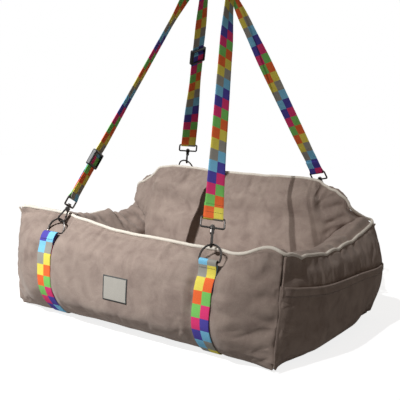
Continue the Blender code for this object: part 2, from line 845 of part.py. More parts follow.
def box(size, centre):
    """Block as a bmesh."""
    bm = bmesh.new()
    bmesh.ops.create_cube(bm, size=1.0)
    bmesh.ops.scale(bm, vec=size, verts=bm.verts)
    bmesh.ops.translate(bm, vec=centre, verts=bm.verts)
    return bm


def claw_path():
    """Middle line of the hook from inside its neck, down the spine and round to the nose."""
    bottom = CLAW_SEAT - CLAW_WIRE
    path = [Vector((0.0, 0.0018, 0.0485)), Vector((0.0, 0.0034, 0.0437)), Vector((0.0, 0.0052, 0.0355))]
    path += [Vector((0.0, 0.0068, 0.0282))]
    centre_z = bottom + CLAW_HALF
    for i in range(9):
        angle = -math.pi * i / 8
        path.append(Vector((0.0, CLAW_HALF * math.cos(angle), centre_z + CLAW_HALF * math.sin(angle))))
    path.append(Vector((0.0, -CLAW_HALF - 0.0001, centre_z + 0.0012)))
    return path


def hook_mesh():
    """Hook with its forked neck, gate pin, swivel post and riveted head, as one shared mesh."""
    skin = gunmetal()
    neck = box((0.0076, 0.0102, 0.0085), (0.0, -0.0006, 0.0478))
    bmesh.ops.bevel(
        neck, geom=list(neck.edges), offset=0.0014, segments=2, profile=0.5, affect="EDGES", material=-1
    )
    body = mesh_object("hook_neck", neck, skin)
    slot = cutter("gate_slot", box((0.0037, 0.0074, 0.0100), (0.0, -0.0040, 0.0442)), skin)
    spine = cutter("hook_spine", swept_bar(claw_path(), 0.0026, CLAW_WIRE, scale_ends=0.8), skin)
    pin_bm = bmesh.new()
    bmesh.ops.create_cone(
        pin_bm, cap_ends=True, segments=8, radius1=0.0009, radius2=0.0009, depth=0.0060
    )
    bmesh.ops.rotate(pin_bm, matrix=Matrix.Rotation(math.pi / 2, 3, "Y"), verts=pin_bm.verts)
    bmesh.ops.translate(pin_bm, vec=PIVOT, verts=pin_bm.verts)
    pin = cutter("gate_pin", pin_bm, skin)
    post = cutter("swivel_post", cylinder(0.0021, 0.0510, 0.0600), skin)
    head = cutter("swivel_head", cylinder(0.0036, COLLAR_HIGH + 0.0004, COLLAR_HIGH + 0.0024), skin)
    boolean(body, slot, "DIFFERENCE")
    boolean(body, pin, "UNION")
    boolean(body, spine, "UNION")
    boolean(body, post, "UNION")
    boolean(body, head, "UNION")
    made = bake(body)
    made.name = "swivel_hook"
    remove(body, slot, spine, pin, post, head)
    return made


def gate_outline():
    """Side view of the gate lever, in the hook's frame: eye, shaft, thumb tab and tip."""
    tip = Vector((0.0, -CLAW_HALF - 0.0001, CLAW_SEAT - CLAW_WIRE + CLAW_HALF + 0.0020))
    along = (tip - PIVOT).normalized()
    across = Vector((0.0, -along.z, along.y))
    length = (tip - PIVOT).length
    points = []
    for i in range(7):
        angle = math.radians(-60.0 - 40.0 * i)
        points.append(PIVOT + along * (0.0021 * math.cos(angle)) + across * (0.0021 * math.sin(angle)))
    points.append(PIVOT + along * (length - 0.0080) + across * 0.0012)
    points.append(PIVOT + along * (length - 0.0055) + across * 0.0030)
    points.append(PIVOT + along * (length - 0.0035) + across * 0.0030)
    points.append(PIVOT + along * (length - 0.0015) + across * 0.0014)
    points.append(PIVOT + along * length + across * 0.0010)
    points.append(PIVOT + along * length - across * 0.0012)
    return points


def gate_mesh():
    """Sprung gate lever with a bore for the pin, in the frame of its pivot."""
    skin = gunmetal()
    bm = prism([p - PIVOT for p in gate_outline()], 0.0030, (1.0, 0.0, 0.0))
    body = mesh_object("gate_lever", bm, skin)
    bore_bm = bmesh.new()
    bmesh.ops.create_cone(
        bore_bm, cap_ends=True, segments=8, radius1=0.00125, radius2=0.00125, depth=0.008
    )
    bmesh.ops.rotate(bore_bm, matrix=Matrix.Rotation(math.pi / 2, 3, "Y"), verts=bore_bm.verts)
    bore = cutter("gate_bore", bore_bm, skin)
    boolean(body, bore, "DIFFERENCE")
    made = bake(body)
    made.name = "hook_gate"
    remove(body, bore)
    return made


def eye_path():
    """Middle line of the strap eye's wire."""
    corner = 0.003
    points = []
    for x_sign, z, start in ((1, EYE_LOW, -90.0), (1, EYE_HIGH, 0.0), (-1, EYE_HIGH, 90.0), (-1, EYE_LOW, 180.0)):
        cx = x_sign * (EYE_HALF - corner)
        cz = z + corner if z == EYE_LOW else z - corner
        for i in range(4):
            angle = math.radians(start + 30.0 * i)
            points.append(Vector((cx + corner * math.cos(angle), 0.0, cz + corner * math.sin(angle))))
    return points


def eye_mesh():
    """Rectangular strap eye with the swivel's collar, as one shared mesh."""
    skin = gunmetal()
    wire = tube("eye_wire", eye_path(), WIRE, skin, closed=True, resolution=2)
    wire_mesh = bake(wire)
    body = bpy.data.objects.new("strap_eye", wire_mesh)
    bpy.context.collection.objects.link(body)
    collar_bm = cylinder(0.0050, COLLAR_LOW, COLLAR_HIGH, 14)
    collar = cutter("eye_collar", collar_bm, skin)
    bore = cutter("eye_bore", cylinder(0.00245, COLLAR_LOW - 0.004, COLLAR_HIGH + 0.004, 12), skin)
    boolean(body, collar, "UNION")
    boolean(body, bore, "DIFFERENCE")
    made = bake(body)
    made.name = "strap_eye"
    remove(wire, body, collar, bore)
    return made


def slider_mesh():
    """Three-bar strap slider as one shared mesh: two bars inside the webbing and one outside it."""
    skin = material("slider_black", (0.03, 0.03, 0.033), 0.45)
    half_w = SLIDER_HALF_WIDTH
    half_h = SLIDER_HALF_HEIGHT
    body = mesh_object("slider_body", box((2 * half_w, 0.0104, 2 * half_h), (0.0, 0.0, 0.0)), skin)
    edges = body.modifiers.new("edges", "BEVEL")
    edges.width = 0.0025
    edges.segments = 2
    edges.limit_method = "ANGLE"
    tunnel = cutter("slider_tunnel", box((0.0392, 0.0042, 0.05), (0.0, 0.0, 0.0)), skin)
    front = cutter("slider_window", box((0.0392, 0.0090, 0.0270), (0.0, -0.0060, 0.0)), skin)
    back_a = cutter("slider_relief_a", box((0.0392, 0.0090, 0.0200), (0.0, 0.0060, 0.0130)), skin)
    back_b = cutter("slider_relief_b", box((0.0392, 0.0090, 0.0200), (0.0, 0.0060, -0.0130)), skin)
    for guide in (tunnel, front, back_a, back_b):
        boolean(body, guide, "DIFFERENCE")
    made = bake(body)
    made.name = "strap_slider"
    remove(body, tunnel, front, back_a, back_b)
    return made


# Shoulder straps. Each is drawn in the plane of its loop: x across, y through it, z up it.

# Turn of the webbing's face on each leg, in degrees, at distances up the leg from its ring
TWISTS = {
    "fl": ((0.07, 20.0), (0.50, 24.0), (0.66, 0.0)),
    "fr": ((0.07, -50.0), (0.12, -42.0), (0.28, -14.0), (0.45, 0.0)),
    "bl": ((0.07, -56.0), (0.11, -50.0), (0.28, -12.0), (0.40, -12.0), (0.50, 0.0)),
    "br": ((0.07, 78.0), (0.20, 80.0), (0.38, 52.0), (0.53, 0.0)),
}
HOOK_TURNS = {"fl": 55.0, "fr": -56.0, "bl": -56.0, "br": 115.0}
STRAPS = {
    "front": (FRONT_RING, FRONT_LEAN, FRONT_SPLAY, "fl", "fr", FRONT_SLIDER),
    "rear": (REAR_RING, REAR_LEAN, REAR_SPLAY, "bl", "br", REAR_SLIDER),
}


def plane_frame(word):
    """Frame of the plane that a shoulder strap lies in."""
    ring_middle, lean = STRAPS[word][:2]
    return Matrix.Translation(ring_middle) @ Matrix.Rotation(-lean, 4, "X")


def bar_in_plane(word, side):
    """Middle of a D-ring's bar (across, up) in the strap's plane."""
    if word == "rear" and side > 0.0:
        return Vector((WRAP_X + REAR_RIGHT_OUT, 0.0, -REAR_RIGHT_DROP))
    return Vector((side * WRAP_X, 0.0, 0.0))


def ring_bar(word, side):
    """Middle of a D-ring's bar on the bed."""
    return plane_frame(word) @ bar_in_plane(word, side)


def bar_tilt(word):
    """Slope of the line through both D-ring bars, which is the strap's hinge."""
    along = bar_in_plane(word, 1.0) - bar_in_plane(word, -1.0)
    return math.atan2(along.z, along.x)


def ring_frame(word, side):
    """Frame of a D-ring in the strap's plane, with its bar along x."""
    tilt = Matrix.Rotation(-bar_tilt(word), 4, "Y")
    return Matrix.Translation(bar_in_plane(word, side)) @ tilt


def leg_origin(word, side):
    """Middle of a D-ring's arc in the strap's plane."""
    return ring_frame(word, side) @ Vector((0.0, 0.0, RING_RISE))


def leg_up(word, side):
    """Direction up a leg in the strap's plane."""
    splay = STRAPS[word][2]
    return Vector((-side * math.sin(splay), 0.0, math.cos(splay)))


def leg_frame(word, side, turn):
    """Frame of a leg: origin at the ring's arc, z up the leg, y out of the face that is turned."""
    up = leg_up(word, side)
    level = Vector((side * up.z, 0.0, side * -up.x))
    normal = Matrix.Rotation(math.radians(turn), 3, up) @ level
    across = normal.cross(up)
    frame = Matrix((across, normal, up)).transposed().to_4x4()
    frame.translation = leg_origin(word, side)
    return frame


def bend_middle(word):
    """Centre of the bend over the hand, which both legs run into."""
    splay = STRAPS[word][2]
    left = leg_origin(word, -1.0)
    right = leg_origin(word, 1.0)
    x = (left.x + right.x) / 2 - math.tan(splay) * (left.z - right.z) / 2
    spare = math.cos(splay) * (right.x - left.x) - 2 * HAND_RADIUS
    return Vector((x, 0.0, (left.z + right.z) / 2 + spare / (2 * math.sin(splay))))


def leg_length(word, side):
    """Length of a leg from the ring's arc to where it starts to bend over the hand."""
    return (bend_middle(word) - leg_origin(word, side)).dot(leg_up(word, side))


def strap_point(word, side, v):
    """Place, direction up and outward direction at a distance v along a leg and its half bend."""
    up = leg_up(word, side)
    level = Vector((side * up.z, 0.0, side * -up.x))
    length = leg_length(word, side)
    origin = leg_origin(word, side)
    if v <= length:
        return origin + up * v, up, level
    angle = (v - length) / HAND_RADIUS
    out = level * math.cos(angle) + up * math.sin(angle)
    ahead = up * math.cos(angle) - level * math.sin(angle)
    return bend_middle(word) + out * HAND_RADIUS, ahead, out


def twist(tag, v):
    """Turn of the webbing's face at a distance up a leg, in radians."""
    knots = TWISTS[tag]
    if v <= knots[0][0]:
        return math.radians(knots[0][1])
    for (v0, a0), (v1, a1) in zip(knots, knots[1:]):
        if v <= v1:
            return math.radians(mix(a0, a1, smoothstep(v0, v1, v)))
    return math.radians(knots[-1][1])


def layer_place(word, side, tag, v, lift):
    """Place and face direction of one layer of webbing, lifted off the leg's middle line."""
    point, up, level = strap_point(word, side, v)
    face = Matrix.Rotation(twist(tag, v), 3, up) @ level
    return point + face * lift, face


def fold_places(word, side, tag):
    """Fold of the webbing round the bar of its eye, from the inner layer to the outer."""
    point, up, level = strap_point(word, side, EYE_HIGH)
    face = Matrix.Rotation(twist(tag, EYE_HIGH), 3, up) @ level
    radius = WIRE + 0.0004 + WEB_THICK / 2
    places = []
    for i in range(7):
        angle = math.pi * i / 6 - math.pi
        out = face * math.cos(angle) + up * math.sin(angle)
        places.append((point + out * radius, out))
    return places


def half_strap(word, side, tag, tail):
    """Places along half a strap, from the end of its folded tail to the top of the bend."""
    layer = WEB_THICK / 2 + 0.00015
    start = EYE_HIGH + 0.010
    places = []
    count = max(2, round((tail - start) / 0.025) + 1)
    for i in range(count):
        point, face = layer_place(word, side, tag, mix(tail, start, i / (count - 1)), -layer)
        places.append((point, -face))
    places += fold_places(word, side, tag)
    length = leg_length(word, side)
    top = length + HAND_RADIUS * (math.pi / 2 - STRAPS[word][2])
    steps = max(6, round((length - start) / 0.025))
    heights = [mix(start, length, i / steps) for i in range(steps + 1)]
    heights += [mix(length, top, i / 6) for i in range(1, 7)]
    for v in heights:
        lift = layer * (1.0 - smoothstep(tail + 0.004, tail + 0.035, v))
        places.append(layer_place(word, side, tag, v, lift))
    return places


def strap_sections(places):
    """Rectangular sections of webbing along places."""
    sections = []
    for i, (point, normal) in enumerate(places):
        before = places[max(i - 1, 0)][0]
        after = places[min(i + 1, len(places) - 1)][0]
        along = (after - before).normalized()
        across = along.cross(normal).normalized()
        face = across.cross(along).normalized()
        w = across * (WEB_WIDTH / 2)
        n = face * (WEB_THICK / 2)
        sections.append([point - w - n, point + w - n, point + w + n, point - w + n])
    return sections


def strap(word, parent):
    """Shoulder strap: two legs with folded ends, and the bend over the hand."""
    left_tag, right_tag, slider = STRAPS[word][3:]
    places = half_strap(word, -1.0, left_tag, slider + 0.006)
    places += list(reversed(half_strap(word, 1.0, right_tag, EYE_HIGH + 0.030)))[1:]
    bm = loft(strap_sections(places))
    bmesh.ops.triangulate(bm, faces=bm.faces, quad_method="SHORT_EDGE")
    made = mesh_object(f"{word}_strap", bm, webbing_cloth())
    made.parent = parent
    return made


def put(name, mesh, matrix, parent):
    """Object that shares a mesh, at matrix in its parent's frame."""
    obj = bpy.data.objects.new(name, mesh)
    bpy.context.collection.objects.link(obj)
    obj.parent = parent
    obj.matrix_local = matrix
    return obj


def shoulder_strap(word, meshes):
    """One shoulder strap with its rings, eyes, hooks, gates and slider, all hung from its hinge."""
    plane = plane_frame(word)
    middle = (bar_in_plane(word, -1.0) + bar_in_plane(word, 1.0)) / 2
    hinge_frame = plane @ Matrix.Translation(middle) @ Matrix.Rotation(-bar_tilt(word), 4, "Y")
    hinge = empty(f"{word}_strap_hinge", hinge_frame)
    loop = empty(f"{word}_strap_plane", hinge_frame.inverted() @ plane, hinge)
    strap(word, loop)
    left_tag, right_tag, slider = STRAPS[word][3:]
    for side, tag in ((-1.0, left_tag), (1.0, right_tag)):
        turn = TWISTS[tag][0][1]
        put(f"d_ring_{tag}", meshes["ring"], ring_frame(word, side), loop)
        put(f"strap_eye_{tag}", meshes["eye"], leg_frame(word, side, turn), loop)
        hook = put(f"hook_{tag}", meshes["hook"], leg_frame(word, side, HOOK_TURNS[tag]), loop)
        put(f"gate_{tag}", meshes["gate"], Matrix.Translation(PIVOT), hook)
    turn = math.degrees(twist(left_tag, slider))
    height = Matrix.Translation((0.0, 0.0, slider))
    put(f"slider_{left_tag}", meshes["slider"], leg_frame(word, -1.0, turn) @ height, loop)


def main():
    """Build the whole bed."""
    clear_scene()
    front_wall()
    side_wall("left_bolster", -1.0)
    side_wall("right_bolster", 1.0)
    backrest()
    base_panel()
    seat_cushion()
    pocket()
    label()
    rim_piping()
    corner_piping("corner_piping_fl", -1.0, FRONT_Y, -1.0)
    corner_piping("corner_piping_fr", 1.0, FRONT_Y, -1.0)
    corner_piping("corner_piping_bl", -1.0, REAR_Y, 1.0)
    corner_piping("corner_piping_br", 1.0, REAR_Y, 1.0)
    wrap("wrap_left", -1.0)
    wrap("wrap_right", 1.0)
    meshes = {
        "ring": ring_mesh(), "eye": eye_mesh(), "hook": hook_mesh(), "gate": gate_mesh(),
        "slider": slider_mesh(),
    }
    shoulder_strap("front", meshes)
    shoulder_strap("rear", meshes)


main()
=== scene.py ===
"""Looks of the carry bed: velour cushions, checked webbing, piping, hardware, camera and light.

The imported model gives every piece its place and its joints. Each class below makes one sub-assembly
of the bed in the same frame: metres, +Z up, front towards -Y.
"""

from __future__ import annotations

import logging
import math
from dataclasses import dataclass, field
from enum import Enum
from functools import lru_cache
from typing import Callable, Sequence

import bmesh
import bpy
import numpy as np
from mathutils import Matrix, Vector
from mathutils.bvhtree import BVHTree


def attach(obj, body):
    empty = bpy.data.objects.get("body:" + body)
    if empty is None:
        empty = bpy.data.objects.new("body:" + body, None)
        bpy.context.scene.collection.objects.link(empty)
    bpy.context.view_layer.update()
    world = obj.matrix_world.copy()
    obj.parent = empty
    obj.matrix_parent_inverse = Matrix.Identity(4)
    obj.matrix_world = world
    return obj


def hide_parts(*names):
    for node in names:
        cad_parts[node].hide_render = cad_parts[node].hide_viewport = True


log = logging.getLogger("carry_bed")
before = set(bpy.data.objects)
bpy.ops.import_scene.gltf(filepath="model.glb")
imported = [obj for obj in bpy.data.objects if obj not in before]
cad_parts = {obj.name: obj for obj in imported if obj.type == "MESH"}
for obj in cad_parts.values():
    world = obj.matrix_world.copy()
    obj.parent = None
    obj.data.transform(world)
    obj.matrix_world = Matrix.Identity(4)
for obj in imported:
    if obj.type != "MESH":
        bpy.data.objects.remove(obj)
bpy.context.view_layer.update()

MM = 0.001

# Sizes that the sub-assemblies share
HALF_WIDTH = 0.325
FRONT_Y = -0.235
REAR_Y = 0.250
SEAM_GAP = 0.0003
FOOT_LIFT = 0.010
SIDE_DEPTH = 0.080
CORNER_TOP = 0.231
WEB_WIDTH = 0.038
WEB_THICK = 0.0016
WRAP_X = 0.197
WIRE = 0.0020
WEB_CLEAR = 0.0004
LAYER_GAP = 0.0003
LOOP_RADIUS = WIRE + WEB_CLEAR + WEB_THICK / 2
EYE_HIGH = 0.0745
LABEL_SIZE = (0.060, 0.050)
WHITE = (1.0, 1.0, 1.0, 1.0)

Knots = tuple[tuple[float, float], ...]


# Small tools


def smoothstep(low: float, high: float, value: float) -> float:
    """Ease from 0 at low to 1 at high."""
    t = min(max((value - low) / (high - low), 0.0), 1.0)
    return t * t * (3.0 - 2.0 * t)


def ease(low: float, high: float, values: np.ndarray) -> np.ndarray:
    """Ease an array from 0 at low to 1 at high."""
    t = np.clip((values - low) / (high - low), 0.0, 1.0)
    return t * t * (3.0 - 2.0 * t)


def mix(first: float, second: float, t: float) -> float:
    """Value a fraction t of the way from first to second."""
    return first + (second - first) * t


def through(knots: Sequence[tuple[float, float]], place: float) -> float:
    """Height at a place on a smooth line through knots.

    Args:
        knots: Pairs of place and height, in order of place.
        place: Where the height is wanted.

    Returns:
        The height, on a cubic through the knots.
    """
    last = len(knots) - 1
    i = 0
    while i < last - 1 and place > knots[i + 1][0]:
        i += 1
    (x0, z0), (x1, z1) = knots[i], knots[i + 1]
    before = knots[i - 1] if i > 0 else (2 * x0 - x1, 2 * z0 - z1)
    after = knots[i + 2] if i + 2 <= last else (2 * x1 - x0, 2 * z1 - z0)
    rise0 = (z1 - before[1]) / (x1 - before[0]) * (x1 - x0)
    rise1 = (after[1] - z0) / (after[0] - x0) * (x1 - x0)
    t = (place - x0) / (x1 - x0)
    start = z0 * (2 * t**3 - 3 * t**2 + 1) + rise0 * (t**3 - 2 * t**2 + t)
    return start + z1 * (3 * t**2 - 2 * t**3) + rise1 * (t**3 - t**2)


def linear(colour: str) -> tuple[float, float, float, float]:
    """Linear RGBA of an sRGB hex colour such as "a09080"."""
    parts = [int(colour[i:i + 2], 16) / 255.0 for i in (0, 2, 4)]
    made = [c / 12.92 if c <= 0.04045 else ((c + 0.055) / 1.055) ** 2.4 for c in parts]
    return (made[0], made[1], made[2], 1.0)


def placed(name: str, data: bpy.types.ID) -> bpy.types.Object:
    """New object in the scene, at the origin."""
    made = bpy.data.objects.new(name, data)
    bpy.context.collection.objects.link(made)
    return made


def mount(piece: bpy.types.Object, body: str, *nodes: str) -> bpy.types.Object:
    """Let a piece ride on a body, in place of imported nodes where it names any, and report it."""
    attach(piece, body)
    if nodes:
        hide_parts(*nodes)
    log.info("%s: %d faces on %s", piece.name, len(piece.data.polygons), body)
    return piece


# Shader nodes


def plug(tree: bpy.types.NodeTree, target: bpy.types.Node, inputs: dict) -> None:
    """Give a node's sockets values, or link them from other sockets."""
    for name, value in inputs.items():
        if isinstance(value, bpy.types.NodeSocket):
            tree.links.new(value, target.inputs[name])
        else:
            target.inputs[name].default_value = value


def node(tree: bpy.types.NodeTree, kind: str, settings: dict | None = None,
         inputs: dict | None = None) -> bpy.types.Node:
    """Add a node with its settings and links.

    Args:
        tree: The material's node tree.
        kind: The node's type name, without the leading "ShaderNode".
        settings: Attributes of the node.
        inputs: Sockets by name or number, each a value or the socket that it is linked from.

    Returns:
        The new node.
    """
    made = tree.nodes.new(f"ShaderNode{kind}")
    for name, value in (settings or {}).items():
        setattr(made, name, value)
    plug(tree, made, inputs or {})
    return made


def blank_material(name: str) -> tuple[bpy.types.Material, bpy.types.NodeTree, bpy.types.Node]:
    """New material, its tree and its Principled shader."""
    made = bpy.data.materials.new(name)
    made.use_nodes = True
    return made, made.node_tree, made.node_tree.nodes["Principled BSDF"]


def object_place(tree: bpy.types.NodeTree) -> bpy.types.NodeSocket:
    """Place in the object's own coordinates, in metres."""
    return node(tree, "TexCoord").outputs["Object"]


def uv_place(tree: bpy.types.NodeTree) -> bpy.types.NodeSocket:
    """Place on the piece's own UV map."""
    return node(tree, "UVMap", {"uv_map": "UVMap"}).outputs["UV"]


def grain(tree: bpy.types.NodeTree, place: bpy.types.NodeSocket, scale: float, detail: float,
          **more: float) -> bpy.types.NodeSocket:
    """Noise, with a number of grains to the metre."""
    inputs = {"Vector": place, "Scale": scale, "Detail": detail, **more}
    return node(tree, "TexNoise", inputs=inputs).outputs["Fac"]


def ranged(tree: bpy.types.NodeTree, value: bpy.types.NodeSocket, source: tuple[float, float],
           wanted: tuple[float, float]) -> bpy.types.NodeSocket:
    """Value moved from one range to another."""
    return node(tree, "MapRange", inputs={
        "Value": value, "From Min": source[0], "From Max": source[1], "To Min": wanted[0],
        "To Max": wanted[1]}).outputs["Result"]


def sums(tree: bpy.types.NodeTree, operation: str, first: bpy.types.NodeSocket | float,
         second: bpy.types.NodeSocket | float = 0.0) -> bpy.types.NodeSocket:
    """Result of one sum."""
    return node(tree, "Math", {"operation": operation}, {0: first, 1: second}).outputs[0]


def vector_sums(tree: bpy.types.NodeTree, operation: str, inputs: dict) -> bpy.types.NodeSocket:
    """Result of one sum on vectors or colours."""
    return node(tree, "VectorMath", {"operation": operation}, inputs).outputs["Vector"]


def blended(tree: bpy.types.NodeTree, factor: bpy.types.NodeSocket | float, first: object,
            second: object, blend: str = "MIX") -> bpy.types.NodeSocket:
    """Mix of two colours."""
    return node(tree, "Mix", {"data_type": "RGBA", "blend_type": blend}, {
        "Factor": factor, 6: first, 7: second}).outputs[2]


def bumped(tree: bpy.types.NodeTree, height: bpy.types.NodeSocket, strength: float,
           distance: float, **more: bpy.types.NodeSocket) -> bpy.types.NodeSocket:
    """Normal bumped by a height."""
    return node(tree, "Bump", inputs={
        "Height": height, "Strength": strength, "Distance": distance, **more}).outputs["Normal"]


def checker(tree: bpy.types.NodeTree, place: bpy.types.NodeSocket, low: float) -> bpy.types.Node:
    """Plain weave of white and a darker grey, one thread to the unit."""
    return node(tree, "TexChecker", inputs={
        "Vector": place, "Scale": 1.0, "Color1": (1, 1, 1, 1), "Color2": (low, low, low, 1)})


# Finishes


@dataclass(frozen=True)
class Velour:
    """Short-pile polyester velour, knitted and brushed, that shows where it was stroked."""

    name: str = "taupe_velour"
    pile: str = "9c8c83"
    stroked: str = "a7978d"
    laid: str = "8d7d75"
    sheen: str = "f2ece6"
    stroke_mm: float = 34.0
    tuft_mm: float = 1.6

    def build(self) -> bpy.types.Material:
        """Pile with stroked patches, fine tufts and a soft sheen at its edges."""
        made, tree, shader = blank_material(self.name)
        place = object_place(tree)
        patches = grain(tree, place, 1000.0 / self.stroke_mm, 3.0, Roughness=0.55, Distortion=0.6)
        tufts = grain(tree, place, 1000.0 / self.tuft_mm, 2.0, Roughness=0.6)
        tone = node(tree, "ValToRGB", inputs={"Fac": patches})
        ramp = tone.color_ramp
        ramp.elements[0].position = 0.30
        ramp.elements[0].color = linear(self.laid)
        ramp.elements[1].position = 0.72
        ramp.elements[1].color = linear(self.stroked)
        ramp.elements.new(0.5).color = linear(self.pile)
        fleck = ranged(tree, tufts, (0.3, 0.7), (0.90, 1.08))
        deep = bumped(tree, patches, 0.25, 0.0020)
        plug(tree, shader, {
            "Base Color": vector_sums(tree, "SCALE", {0: tone.outputs["Color"], "Scale": fleck}),
            "Normal": bumped(tree, tufts, 0.55, 0.0006, Normal=deep), "Roughness": 0.95,
            "Specular IOR Level": 0.05, "Sheen Weight": 0.22, "Sheen Roughness": 0.55,
            "Sheen Tint": linear(self.sheen)})
        return made


@dataclass(frozen=True)
class PipingTwill:
    """Bias-cut cotton twill wrapped over a cord: matt, off-white, with fine slanting ribs."""

    name: str = "piping_twill"
    cloth: str = "eee8dd"
    soiled: str = "d8d0c3"
    rib_mm: float = 2.4

    def build(self) -> bpy.types.Material:
        """Twill ribs that slant along the cord, with slightly greyer stretches."""
        made, tree, shader = blank_material(self.name)
        place = object_place(tree)
        ribs = node(tree, "TexWave", {"bands_direction": "DIAGONAL"}, {
            "Vector": place, "Scale": 1000.0 / self.rib_mm / 6.283, "Distortion": 1.5,
            "Detail": 1.0}).outputs["Fac"]
        stretch = grain(tree, place, 45.0, 2.0)
        plug(tree, shader, {
            "Base Color": blended(tree, stretch, linear(self.soiled), linear(self.cloth)),
            "Normal": bumped(tree, ribs, 0.35, 0.0004), "Roughness": 0.85, "Sheen Weight": 0.12})
        return made


@dataclass(frozen=True)
class CheckWebbing:
    """Woven polyester webbing with two columns of coloured checks; its UV map counts the checks."""

    name: str = "check_webbing"
    colours: tuple[str, ...] = ("86cff4", "5a52b2", "ee4582", "84d46e", "fb7642", "f2e464", "a3a29a")
    cell_mm: float = 23.8
    pick_mm: float = 1.5

    def build(self) -> bpy.types.Material:
        """Seven colours in a cycle, one check ahead in the second column, over a plain weave."""
        made, tree, shader = blank_material(self.name)
        uv = uv_place(tree)
        split = node(tree, "SeparateXYZ", inputs={"Vector": uv})
        cycle = float(len(self.colours))
        column = sums(tree, "LESS_THAN", split.outputs["X"], 0.5)
        count = sums(tree, "FLOOR", sums(tree, "ADD", split.outputs["Y"], column))
        share = sums(tree, "DIVIDE", sums(tree, "FLOORED_MODULO", count, cycle), cycle)
        tone = node(tree, "ValToRGB", inputs={"Fac": sums(tree, "ADD", share, 0.5 / cycle)})
        ramp = tone.color_ramp
        ramp.interpolation = "CONSTANT"
        ramp.elements[0].position = 0.0
        ramp.elements[0].color = linear(self.colours[0])
        ramp.elements[1].position = 1.0 / cycle
        ramp.elements[1].color = linear(self.colours[1])
        for i, colour in enumerate(self.colours[2:], start=2):
            ramp.elements.new(i / cycle).color = linear(colour)
        threads = vector_sums(tree, "MULTIPLY", {
            0: uv, 1: (WEB_WIDTH / MM / self.pick_mm, self.cell_mm / self.pick_mm, 1.0)})
        weave = checker(tree, threads, 0.0)
        thread = ranged(tree, grain(tree, threads, 1.3, 1.0), (0.25, 0.75), (0.82, 1.10))
        plug(tree, shader, {
            "Base Color": vector_sums(tree, "SCALE", {0: tone.outputs["Color"], "Scale": thread}),
            "Normal": bumped(tree, weave.outputs["Fac"], 0.30, 0.0003), "Roughness": 0.70,
            "Specular IOR Level": 0.06})
        return made


@dataclass(frozen=True)
class PlatedMetal:
    """Zinc alloy, cast and plated in dark nickel: a smooth grey-brown mirror, dulled by handling."""

    name: str = "dark_nickel_plate"
    plate: str = "4a4745"
    handled_mm: float = 6.0
    roughness: tuple[float, float] = (0.18, 0.34)

    def build(self) -> bpy.types.Material:
        """Plate whose shine varies a little where it has been handled."""
        made, tree, shader = blank_material(self.name)
        marks = grain(tree, object_place(tree), 1000.0 / self.handled_mm, 3.0)
        plug(tree, shader, {
            "Base Color": linear(self.plate), "Metallic": 1.0,
            "Roughness": ranged(tree, marks, (0.3, 0.7), self.roughness),
            "Normal": bumped(tree, marks, 0.10, 0.0003)})
        return made


@dataclass(frozen=True)
class MouldedBlack:
    """Acetal, injection moulded in black: satin, with a fine spark-eroded grain."""

    name: str = "moulded_black"
    body: str = "1b1b1d"
    grain_mm: float = 0.9

    def build(self) -> bpy.types.Material:
        """Satin black with a fine grain."""
        made, tree, shader = blank_material(self.name)
        fine = grain(tree, object_place(tree), 1000.0 / self.grain_mm, 2.0)
        plug(tree, shader, {"Base Color": linear(self.body), "Roughness": 0.38,
                            "Normal": bumped(tree, fine, 0.2, 0.0002)})
        return made


@dataclass(frozen=True)
class LabelWeave:
    """Damask label, woven in pale grey with a dark border; its face is bare."""

    name: str = "label_damask"
    field: str = "b4b1a9"
    border: str = "4b4e4d"
    border_mm: float = 2.5
    thread_mm: float = 0.9

    def build(self) -> bpy.types.Material:
        """Pale weave with a dark border, drawn on the label's own UV map."""
        made, tree, shader = blank_material(self.name)
        uv = uv_place(tree)
        split = node(tree, "SeparateXYZ", inputs={"Vector": uv})
        size = [side / MM for side in LABEL_SIZE]
        edges = []
        for axis, side in zip("XY", size):
            away = sums(tree, "ABSOLUTE", sums(tree, "SUBTRACT", split.outputs[axis], 0.5))
            edges.append(sums(tree, "MULTIPLY", sums(tree, "SUBTRACT", 0.5, away), side))
        outer = sums(tree, "LESS_THAN", sums(tree, "MINIMUM", *edges), self.border_mm)
        tone = blended(tree, outer, linear(self.field), linear(self.border))
        threads = vector_sums(tree, "MULTIPLY", {
            0: uv, 1: (size[0] / self.thread_mm, size[1] / self.thread_mm, 1.0)})
        weave = checker(tree, threads, 0.8)
        plug(tree, shader, {
            "Base Color": blended(tree, 0.8, tone, weave.outputs["Color"], "MULTIPLY"),
            "Normal": bumped(tree, weave.outputs["Fac"], 0.25, 0.0002), "Roughness": 0.8})
        return made


@dataclass(frozen=True)
class NonSlipCloth:
    """Oxford cloth with moulded rubber dots: dark and matt, as on the underside of a seat pad."""

    name: str = "non_slip_cloth"
    cloth: str = "2c2a29"
    dots: str = "151414"
    pitch_mm: float = 8.0

    def build(self) -> bpy.types.Material:
        """Coarse dark cloth with a regular grid of dots."""
        made, tree, shader = blank_material(self.name)
        place = object_place(tree)
        cells = node(tree, "TexVoronoi", {"feature": "F1"}, {
            "Vector": place, "Scale": 1000.0 / self.pitch_mm, "Randomness": 0.0})
        dot = ranged(tree, cells.outputs["Distance"], (0.22, 0.28), (1.0, 0.0))
        rise = sums(tree, "ADD", grain(tree, place, 700.0, 2.0), dot)
        plug(tree, shader, {
            "Base Color": blended(tree, dot, linear(self.cloth), linear(self.dots)),
            "Normal": bumped(tree, rise, 0.4, 0.0006), "Roughness": 0.9})
        return made


